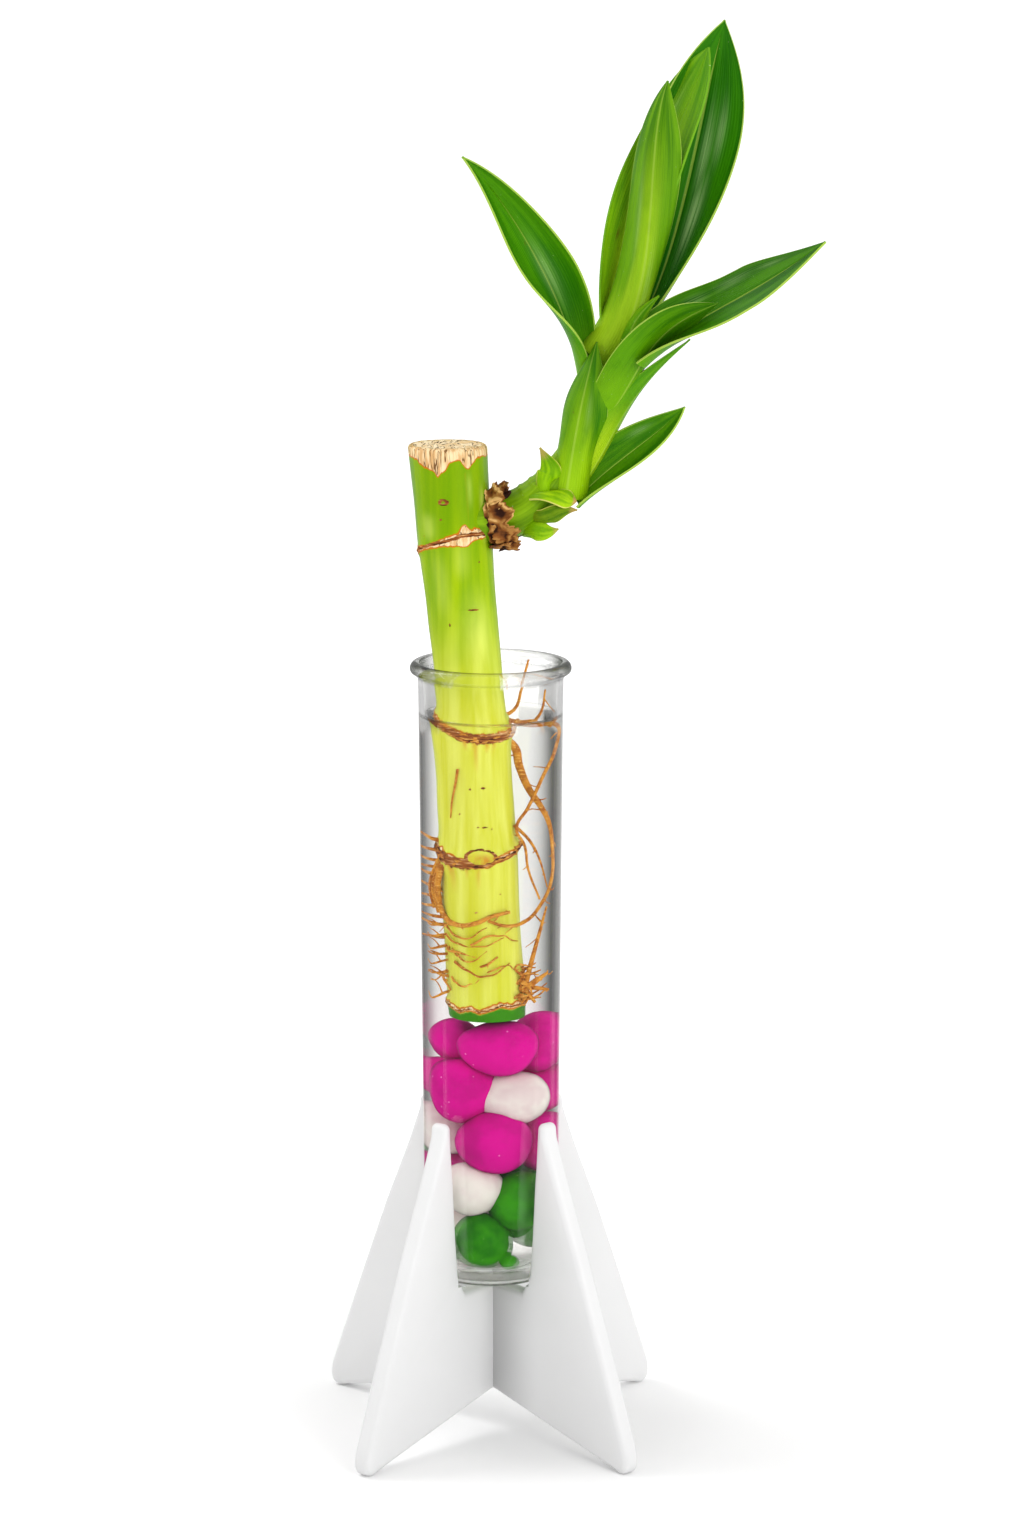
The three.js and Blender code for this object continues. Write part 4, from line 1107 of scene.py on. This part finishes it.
LEAVES = {
    "leaf_front": {
        "rib": [(15.3, -5.5, 198.3), (17.2, -7, 210.7), (19.2, -7, 220.5), (21.6, -4.5, 230.1)],
        "width": (7.9, 6.1, 0.36, 1.1), "looks": ((173, -4), (145, -6)), "turn": (236, 76, 0.83, 0),
        "look": look((44, 110, 0), (96, 152, 4), (144, 190, 10), 0.4, seed=1.0, glow=0.5)},
    "leaf_right_middle": {
        "rib": [(16.6, -2, 197.6), (24, -4.5, 210.2), (29.4, -5.5, 219.5), (40.4, -4, 230.6)],
        "width": (4.9, 5, 0.28, 1.1), "looks": ((211, 38), (229, 43)), "turn": (209, 89, 0.8, 5.5),
        "look": look((62, 130, 4), (98, 158, 10), (166, 202, 22), 0.7, seed=2.0)},
    "leaf_right_sheath": {
        "start": 0.08,
        "rib": [(22, -5.5, 213.1), (28.7, -8, 223.5), (34.3, -9.5, 231.8), (45.8, -9, 238.4)],
        "width": (5.7, 6.8, 0.4, 1.4), "looks": ((211, 43), (242, -9)), "turn": (188, 34, 0.88, 0),
        "look": look((46, 108, 0), (84, 144, 2), (104, 160, 4), 0.5, seed=3.0)},
    "leaf_inner_sheath": {
        "rib": [(22.9, -4, 221.5), (27.7, -5, 227.5), (28.5, -5, 232.4), (34.1, -3.5, 239.3)],
        "width": (4.4, 5, 0.24, 1), "looks": ((169, 23), (144, 18)), "turn": (181, 103, 0.95, 1.6),
        "look": look((74, 142, 2), (118, 172, 12), (128, 184, 16), 0.6, seed=4.0)},
    "leaf_top_front": {
        "rib": [(23.2, -3, 225.1), (30.7, -3.5, 243.6), (32.9, -2, 264.4), (35.8, 0.5, 282.2)],
        "width": (7.6, 5.9, 0.61, 1.2), "looks": ((208, 14), (149, 5)), "turn": (219, 81, 0.97, 0),
        "look": look((54, 112, 0), (102, 156, 8), (158, 198, 28), 0.4, seed=5.0, glow=0.8)},
    "leaf_left": {
        "rib": [(18.2, 0.5, 218.6), (14.8, -2, 234.6), (5.8, -6, 253), (-5.6, -8, 267.6)],
        "width": (2, 7.7, 0.49, 0.8), "looks": ((86, -48), (-35, 47)), "turn": (197, 90, 0.66, 19),
        "look": look((40, 112, 0), (80, 150, 2), (104, 164, 10), 0.35, seed=6.0, rib=0.5)},
    "leaf_right_upper": {
        "start": 0.22,
        "rib": [(22.7, -3.5, 214.5), (35.3, -6, 229.9), (48.6, -7.5, 238.4), (67.3, -9, 250.7)],
        "width": (6.4, 8.8, 0.75, 0.84), "looks": ((-35, 47), (-33, 66)), "turn": (215, 7, 0.69, 7),
        "look": look((32, 96, 0), (72, 136, 4), (88, 148, 4), 0.3, seed=7.0, rib=0.5)},
    "leaf_right_lower": {
        "start": 0.1,
        "rib": [(15.5, -1.5, 194.8), (23.2, -3, 203.1), (32.1, -4.5, 210.4), (39.4, -5, 217)],
        "width": (4.7, 5.7, 0.34, 1.1), "looks": ((-24, 35), (-3, 28)), "turn": (158, 69, 0.93, 5),
        "look": look((40, 108, 0), (80, 140, 4), (92, 150, 8), 0.35, seed=8.0, rib=0.5)},
    "leaf_top_middle": {
        "rib": [(26.1, 0.5, 229), (27, 3, 245.1), (36.2, 5, 268.3), (44.1, 4.5, 288.7)],
        "width": (4.1, 7.5, 0.68, 1.6), "looks": ((15, -9), (-60, 10)), "turn": (171, 33, 1, 2),
        "look": look((68, 134, 0), (124, 178, 14), (168, 216, 26), 0.3, (104, 158, 30), 0.98, 0.5,
                     seed=9.0, glow=0.9)},
    "leaf_top_back": {
        "rib": [(26.5, 2.5, 228.9), (35.7, 6, 244.8), (42.2, 9, 270.4), (47.4, 8, 294)],
        "width": (4, 9.5, 0.58, 1.3), "looks": ((-42, 2), (9, 19)), "turn": (157, 30, 0.82, 7),
        "look": look((20, 94, 0), (52, 126, 2), (60, 130, 2), 0.25, seed=10.0, rib=0.5)},
}
SCALES = {
    "scale_top": {
        "rib": [(11.7, -5.5, 198.3), (11.6, -6.2, 202.4), (12, -6.2, 204.2), (10.1, -4.5, 208.6)],
        "width": (2, 2.7, 0.52, 1.2), "looks": ((201, -4), (168, -2)), "turn": (178, 58, 0.77, 6),
        "look": look((92, 148, 0), (142, 192, 4), (134, 184, 2), 0.4, (204, 204, 84), 0.9,
                     0.0, 0.6, 11.0)},
    "scale_collar": {
        "rib": [(8.7, -4.5, 199.1), (12.5, -7, 199.6), (15.2, -7.2, 198.7), (17.4, -6, 197.9)],
        "width": (2, 2.1, 0.65, 1.3), "looks": ((225, -52), (182, -9)), "turn": (131, 64, 0.9, 2),
        "look": look((110, 162, 0), (164, 204, 14), (112, 162, 2), 0.3, (218, 208, 110), 0.86,
                     0.0, 0.9, 12.0)},
    # Painted shade: its greens are darker than the other scales', for the shade it sits in
    "scale_middle": {
        "rib": [(7.1, -3.5, 194.6), (10.8, -6.2, 194.2), (13.6, -6.8, 195.5), (17.6, -5.6, 196)],
        "width": (2, 2.1, 0.4, 1.2), "looks": ((191, 32), (180, 3)), "turn": (151, 62, 0.8, 0),
        "look": look((70, 112, 2), (112, 144, 14), (118, 134, 12), 0.3, (196, 196, 84), 0.9,
                     0.0, 0.6, 13.0)},
    "scale_bottom": {
        "rib": [(5.7, -2.5, 192), (8.8, -5.2, 192), (11, -5.4, 191.5), (13.8, -4.2, 191.9)],
        "width": (2.8, 2.4, 0.37, 1.2), "looks": ((178, -3), (179, 1)), "turn": (150, 62, 0.8, 0),
        "look": look((104, 158, 0), (148, 192, 14), (122, 172, 2), 0.4, (190, 204, 70), 0.9,
                     0.0, 0.5, 14.0)},
}


def direction(aside, up):
    aside, up = math.radians(aside), math.radians(up)
    return np.array((math.sin(aside) * math.cos(up), -math.cos(aside) * math.cos(up), math.sin(up)))


def half_width(width, t):
    base, widest, place, sharpness = width
    rising = base + (widest - base) * np.sin(np.pi / 2 * np.clip(t / place, 0, 1)) ** 1.3
    falling = widest * np.cos(np.pi / 2 * np.clip((t - place) / (1 - place), 0, 1) ** sharpness)
    return np.maximum(np.where(t < place, rising, falling), 0.12)


def leaf_surface(leaf, u, v):
    start = leaf.get("start", 0.0)
    t = start + (1 - start) * v
    s = 2 * u - 1
    a, b, c, d = (np.array(p, float) for p in leaf["rib"])
    first = (-5 * a + 18 * b - 9 * c + 2 * d) / 6
    second = (2 * a - 9 * b + 18 * c - 5 * d) / 6
    k = t[:, None]
    centre = (1 - k) ** 3 * a + 3 * (1 - k) ** 2 * k * first + 3 * (1 - k) * k**2 * second + k**3 * d
    along = unit(3 * (1 - k) ** 2 * (first - a) + 6 * (1 - k) * k * (second - first)
                 + 3 * k**2 * (d - second))
    mix = smooth(t)[:, None]
    inward = unit(direction(*leaf["looks"][0]) * (1 - mix) + direction(*leaf["looks"][1]) * mix)
    inward = unit(inward - along * np.sum(inward * along, axis=1, keepdims=True))
    across = np.cross(along, inward)
    half = half_width(leaf["width"], t)
    base_turn, tip_turn, turn_end, fold = leaf["turn"]
    bend_rate = np.radians(base_turn + (tip_turn - base_turn) * smooth(t / turn_end)) / 2 / half
    fold = math.radians(fold)
    angle = fold + bend_rate * np.abs(s) * half
    out = (np.sin(angle) - math.sin(fold)) / bend_rate
    up = (math.cos(fold) - np.cos(angle)) / bend_rate
    ripple = 0.12 * np.sin(t * 9.0 + s * 2.0) * np.abs(s) * half / 6.0
    groove = -0.16 * np.exp(-(s / 0.05) ** 2) * np.minimum(1, half / 4)
    return (centre + across * (np.sign(s) * out)[:, None] + inward * (up + ripple + groove)[:, None])


# Silver streaks where a blade catches the light, and brown blemishes:
# u, v, half width, half length, strength
SHINES = {
    "leaf_top_back": [(0.62, 0.64, 0.05, 0.10, 0.6), (0.68, 0.47, 0.07, 0.09, 0.75),
                      (0.75, 0.69, 0.05, 0.07, 0.5)],
    "leaf_left": [(0.55, 0.50, 0.10, 0.10, 0.45)],
    "leaf_right_upper": [(0.16, 0.61, 0.07, 0.08, 0.35), (0.18, 0.40, 0.07, 0.07, 0.3),
                         (0.17, 0.80, 0.05, 0.05, 0.3)],
    "leaf_top_front": [(0.70, 0.52, 0.05, 0.14, 0.25), (0.40, 0.30, 0.05, 0.10, 0.2)],
    "leaf_right_lower": [(0.20, 0.62, 0.07, 0.08, 0.3)],
    "leaf_front": [(0.35, 0.55, 0.05, 0.12, 0.15)],
    "leaf_top_middle": [(0.30, 0.70, 0.06, 0.12, 0.3)],
}
BLEMISHES = {"leaf_top_middle": [(0.26, 0.41, 0.018, 0.014, 0.9)],
             "leaf_front": [(0.62, 0.50, 0.012, 0.006, 0.6)],
             "leaf_left": [(0.45, 0.62, 0.012, 0.006, 0.5)]}


BLADE_THICKNESS = 0.42
HUSK_THICKNESS = 0.3


def spots(u, v, marks):
    """How strongly painted marks show at each point of a blade."""
    strength = np.zeros(len(u))
    for centre_u, centre_v, wide, long, most in marks:
        spot = np.exp(-((u - centre_u) / wide) ** 2 - ((v - centre_v) / long) ** 2)
        strength = np.maximum(strength, most * spot)
    return strength


def build_leaves():
    for name, leaf in {**SCALES, **LEAVES}.items():
        fine = (40, 110) if name.startswith("leaf") else (28, 48)
        blade = grid_sheet(name + "_blade", *fine, lambda u, v: leaf_surface(leaf, u, v))
        flat = sheet_shares(fine)
        for label, marks in (("shine", SHINES), ("blemish", BLEMISHES)):
            paint(blade, label, spots(flat[:, 0], flat[:, 1], marks.get(name, [])))
        thicken(blade, BLADE_THICKNESS)
        slot = next(p["material_slot"] for p in frame["record"]["subparts"] if p["node"] == name)
        dress(blade, leaf_material(name + " green", leaf["look"]), slot, name)


# Dry husk round the root of the shoot: crumpled paper, torn at its edges

HUSK_LINE = [(-1.4, -1.4, 193.0), (0.3, -1.4, 193.3), (2.0, -1.4, 193.9), (3.7, -1.4, 194.7),
             (5.2, -1.4, 195.6), (6.6, -1.4, 196.7)]
# First and last angle (0 at the front, 90 on top), radius, both ends along the stem, how much
# further the strip runs at its last angle, flare at the far end, seed
HUSK_STRIPS = {
    "cuff": (-180, 180, 5.1, 0.08, 0.54, 0.0, 0.5, 2.0),
    "front_flap": (-75, 75, 5.8, 0.18, 0.68, 0.36, 1.0, 8.0),
    "top_flap": (35, 150, 5.4, 0.26, 0.96, 0.0, 0.9, 15.0),
    "low_flap": (-150, -45, 5.6, 0.06, 0.46, 0.0, 0.5, 21.0)}


def husk_strip(name, first, last, base, near, end, lean, flare, seed):
    folds = []

    def surface(u, v):
        edge = np.stack([u * 8, v * 0 + seed, v * 0], 1)
        hem = np.stack([u * 29, v * 0 + seed, v * 0], 1)
        torn = 0.16 * rough_noise(edge, 1.0) + 0.08 * rough_noise(hem, 1.0)
        t = near + (end + lean * (u - 0.5) - near) * v + torn * (2 * v - 0.6)
        turn = np.radians(first + (last - first) * u)
        skin = np.stack([np.sin(turn) * 2, np.cos(turn) * 2, v * 2.6], 1)
        fold = 0.85 - 3.4 * np.abs(rough_noise(skin, 0.66, seed)) + 0.4 * rough_noise(skin, 2.2, seed + 4)
        folds.append(fold)
        curl = 0.9 * np.abs(2 * u - 1) ** 5 if last - first < 300 else 0.0
        radius = base + 0.1 + flare * v**2 + 0.5 * (fold - 0.5) + curl
        return wrapped(HUSK_LINE, np.clip(t, 0.001, 0.999), np.degrees(turn), radius)

    piece = grid_sheet(name, 90, 46, surface)
    paint(piece, "fold", folds[0])
    thicken(piece, HUSK_THICKNESS)
    return piece


def build_husk():
    husk = join_pieces("dry_husk", [husk_strip(name, *shape) for name, shape in HUSK_STRIPS.items()])
    dress(husk, husk_material(), "dry_brown", "dry_sheath")


# Pebbles: place, half axes, turn about the upright, colour

PEBBLES = [
    ((1.2, -7.0, 84.0), (7.6, 5.2, 5.8), 0, "magenta"), ((-5.4, 0.8, 84.3), (4.0, 5.4, 4.7), 10, "magenta"),
    ((7.4, 2.4, 83.6), (5.2, 7.0, 5.9), 15, "magenta"), ((-6.0, -5.0, 74.4), (7.0, 5.8, 6.8), 15, "magenta"),
    ((5.8, -5.8, 73.0), (6.8, 5.8, 6.2), -20, "white"), ((-6.2, 6.4, 75.4), (5.4, 5.4, 4.5), -35, "magenta"),
    ((6.0, 6.4, 72.6), (5.8, 5.6, 5.2), 25, "magenta"), ((0.4, -7.4, 63.9), (7.1, 5.3, 6.8), 0, "magenta"),
    ((8.0, 1.4, 62.2), (4.7, 6.6, 5.8), 10, "magenta"), ((-6.4, 4.6, 64.6), (6.2, 7.0, 5.2), -30, "white"),
    ((-3.6, -6.2, 53.6), (5.7, 5.8, 6.0), 10, "white"), ((5.5, -5.4, 51.0), (5.5, 6.0, 6.6), -15, "green"),
    ((-5.8, 5.8, 54.0), (6.0, 6.0, 5.2), -30, "magenta"), ((5.6, 6.4, 54.6), (6.0, 5.8, 5.4), 30, "green"),
    ((-1.8, -6.2, 42.4), (5.8, 5.8, 6.0), 0, "green"), ((3.6, -9.0, 38.3), (2.0, 2.0, 1.6), 0, "green"),
    ((6.6, 5.0, 43.6), (4.6, 5.4, 5.0), 25, "green"), ((-4.6, 6.2, 42.8), (6.4, 5.4, 5.2), -25, "white")]


DYES = {
    "magenta": ((212, 0, 143), (192, 0, 128), (244, 150, 220)),
    "white": ((234, 228, 222), (222, 206, 206), (252, 248, 246)),
    "green": ((52, 146, 4), (28, 112, 0), (140, 210, 110))}
STONE_GAP = 0.1


def stone_places(ball, number, middle, size, turn):
    """A ball's points, swollen unevenly, stretched, turned and set in their place."""
    swell = 1 + 0.05 * np.sin(2.3 * ball[:, 0] + number) + 0.04 * np.sin(2.9 * ball[:, 2] + 2 * number)
    swell = swell + 0.035 * rough_noise(ball, 1.7, number * 3.1) + 0.006 * rough_noise(ball, 7.0, number)
    x, y, z = (ball * swell[:, None] * np.array(size)).T
    angle = math.radians(turn)
    return np.stack([x * math.cos(angle) - y * math.sin(angle),
                     x * math.sin(angle) + y * math.cos(angle), z], axis=1) + np.array(middle)


def clear_of_glass(places):
    """Moves a stone inwards, then flattens what would still touch the glass."""
    for _ in range(3):
        room = tube_radius(places[:, 2]) - WALL - STONE_GAP
        far = np.hypot(places[:, 0], places[:, 1])
        worst = np.argmax(far - room)
        over = max(0.0, far[worst] - room[worst])
        places[:, :2] -= places[worst, :2] / far[worst] * over
    far = np.hypot(places[:, 0], places[:, 1])
    room = tube_radius(places[:, 2]) - WALL - STONE_GAP
    places[:, :2] *= np.where(far > room, room / far, 1.0)[:, None]
    places[:, 2] = np.maximum(places[:, 2], TUBE_BOTTOM + BASE + STONE_GAP)
    return places


def build_pebbles():
    dyes = {colour: pebble_material(colour + " stone", *(tone(*t) for t in tones))
            for colour, tones in DYES.items()}
    for i, (middle, size, turn, colour) in enumerate(PEBBLES):
        bpy.ops.object.select_all(action="DESELECT")
        bpy.ops.mesh.primitive_ico_sphere_add(subdivisions=5, radius=1.0)
        stone = bpy.context.object
        places = clear_of_glass(stone_places(points_of(stone), i, middle, size, turn))
        put_points(stone, places * MM + np.array(AXIS))
        number = f"{i + 1:02d}"
        stone.name = f"stone_{number}"
        pick(stone)
        bpy.ops.object.shade_smooth()
        dress(stone, dyes[colour], "stone_" + colour, f"pebble_{number}_{colour}")


# Room: floor, light, cards that only the glass sees, and the camera

FLOOR_SIZE = 60.0
WHITE = (1, 1, 1, 1)
# Cards: name, azimuth, where the inner share starts and ends to fade (degrees), its dark end,
# and how light the outer share comes back
CARDS = [("card_left", -50.0, 12.0, 33.0, 0.1, 0.5), ("card_right", 52.0, 20.0, 42.0, 0.16, 0.55)]
CARD_DISTANCE = 0.13
CARD_HEIGHT = 0.078
CARD_SIZE = (0.26, 0.155)
# Lamps: name, place, size, power
LAMPS = [("key", (0.61, -0.94, 0.62), 0.7, 6.0), ("fill", (-0.85, -0.75, 0.5), 0.5, 0.5),
         ("rim", (-0.6, 0.2, 0.85), 0.4, 2.5)]
LAMPS_AIM = Vector((0, 0, 0.15))
# Camera: place round the tube's axis, degrees down, focal length in picture points
CAMERA_PLACE = (4.381, -1000.0, 337.46)
CAMERA_TILT = 11.09
FOCAL_LENGTH = 4934.3
PICTURE_HEIGHT = 1536
SENSOR = 36.0


def mirror_share(tree):
    """One for looks that were mirrored on their way, nought for those only bent or straight."""
    path = node(tree, "ShaderNodeLightPath").outputs
    return times(tree, path["Is Glossy Ray"], calc(tree, "GREATER_THAN", path["Glossy Depth"], 0.5))


def build_floor():
    """A pale floor; on the camera's side it is dark for the glass, which would mirror it."""
    bpy.ops.object.select_all(action="DESELECT")
    bpy.ops.mesh.primitive_plane_add(size=FLOOR_SIZE, location=(0, 0, 0))
    floor = bpy.context.object
    floor.name = "studio_floor"
    material, tree, surface, _ = new_material(
        "studio floor", Roughness=0.9, Specular_IOR_Level=0.1, Emission_Color=WHITE)
    place = place_coordinates(tree)
    far = vector_calc(tree, "LENGTH", place)["Value"]
    behind = ramp(tree, parts(tree, place)[1], -0.06, 0.02)
    mirrored = times(tree, mirror_share(tree), minus(tree, 1.0, behind))
    # Painted light: the floor glows, not at all near the middle and more the further out it lies
    glow = plus(tree, ramp(tree, far, 0.016, 0.036, 0.0, 0.075), ramp(tree, far, 0.05, 0.3, 0.0, 0.35))
    colour = blend(tree, mirrored, (0.89, 0.89, 0.89, 1), (0.1, 0.1, 0.1, 1))
    feed(tree, surface, Base_Color=colour, Emission_Strength=times(tree, glow, minus(tree, 1.0, mirrored)))
    floor.data.materials.append(material)


def card_material(name, start, end, dark, back):
    """Light and dark by how far aside and how high the card is looked at."""
    def fade(first, last, low, high):
        return ramp(tree, aside, math.radians(first), math.radians(last), low, high)

    material, tree, _, out = new_material(name)
    x, y, z = parts(tree, vector_calc(tree, "SUBTRACT", place_coordinates(tree), AXIS)[0])
    aside = calc(tree, "ARCTAN2", calc(tree, "ABSOLUTE", x), y)
    inner = fade(start, end, 1.0, dark)
    outer = times(tree, fade(end, end + 13.0, 0.0, back), fade(58.0, 66.0, 1.0, 0.2))
    wet = calc(tree, "MAXIMUM", inner, outer)
    dry = times(tree, fade(5.0, 11.0, 1.0, 0.62), fade(58.0, 66.0, 1.0, 0.3))
    high = ramp(tree, z, 0.1238, 0.1256)
    shine = plus(tree, times(tree, wet, minus(tree, 1.0, high)), times(tree, dry, high))
    shine = calc(tree, "MAXIMUM", shine, ramp(tree, z, 0.147, 0.154))
    glow = node(tree, "ShaderNodeEmission", {"Color": WHITE, "Strength": shine})
    feed(tree, out, Surface=glow.outputs[0])
    return material


def build_cards():
    """Dark cards beside the tube, seen only through and in the glass; each fades to its sides."""
    for name, azimuth, *shades in CARDS:
        bpy.ops.mesh.primitive_plane_add(size=1.0)
        card = bpy.context.object
        card.name = name
        turn = math.radians(azimuth)
        spot = AXIS + Vector((math.sin(turn), math.cos(turn), 0)) * CARD_DISTANCE
        spot.z = CARD_HEIGHT
        card.data.transform(
            Matrix.Translation(spot) @ Matrix.Rotation(-turn, 4, "Z")
            @ Matrix.Rotation(math.pi / 2, 4, "X") @ Matrix.Diagonal((*CARD_SIZE, 1, 1)))
        card.data.materials.append(card_material(name, *shades))
        card.visible_camera = False
        card.visible_diffuse = False
        card.visible_shadow = False


def build_lamps():
    for name, spot, size, power in LAMPS:
        bpy.ops.object.light_add(type="AREA", location=spot)
        lamp = bpy.context.object
        lamp.name = name
        lamp.data.size = size
        lamp.data.energy = power
        lamp.rotation_euler = (LAMPS_AIM - Vector(spot)).to_track_quat("-Z", "Y").to_euler()


def build_sky():
    """A sky that is dimmer on the camera's side, and white where it is looked at."""
    world = bpy.data.worlds.new("studio")
    world.use_nodes = True
    tree = world.node_tree
    heading = parts(tree, place_coordinates(tree, "Generated"))[1]
    path = node(tree, "ShaderNodeLightPath").outputs
    mirrored = mirror_share(tree)
    plain = minus(tree, 1.0, mirrored)
    first = calc(tree, "LESS_THAN", path["Diffuse Depth"], 0.5)
    seen = calc(tree, "MAXIMUM", path["Is Camera Ray"], times(tree, path["Is Transmission Ray"], first))
    seen = times(tree, seen, calc(tree, "MAXIMUM", plain, ramp(tree, heading, -0.5, -0.1)))
    front = minus(tree, 0.52, times(tree, mirrored, 0.46))
    dim = ramp(tree, heading, -0.9, 0.1, front, 0.95)
    back = tree.nodes["Background"]
    feed(tree, back, Strength=calc(tree, "MAXIMUM", dim, times(tree, seen, 1.05)))
    back.inputs["Color"].default_value = WHITE
    bpy.context.scene.world = world
    bpy.context.scene.view_settings.view_transform = "Standard"


def build_camera():
    bpy.ops.object.camera_add(location=at(*CAMERA_PLACE))
    camera = bpy.context.object
    camera.rotation_euler = (math.radians(90 - CAMERA_TILT), 0, 0)
    camera.data.sensor_width = SENSOR
    camera.data.lens = FOCAL_LENGTH / PICTURE_HEIGHT * SENSOR
    bpy.context.scene.camera = camera


build_floor()
build_cards()
build_lamps()
build_sky()
build_camera()
build_stand()
build_glass()
build_water()
build_pebbles()
build_cane()
build_leaves()
build_husk()
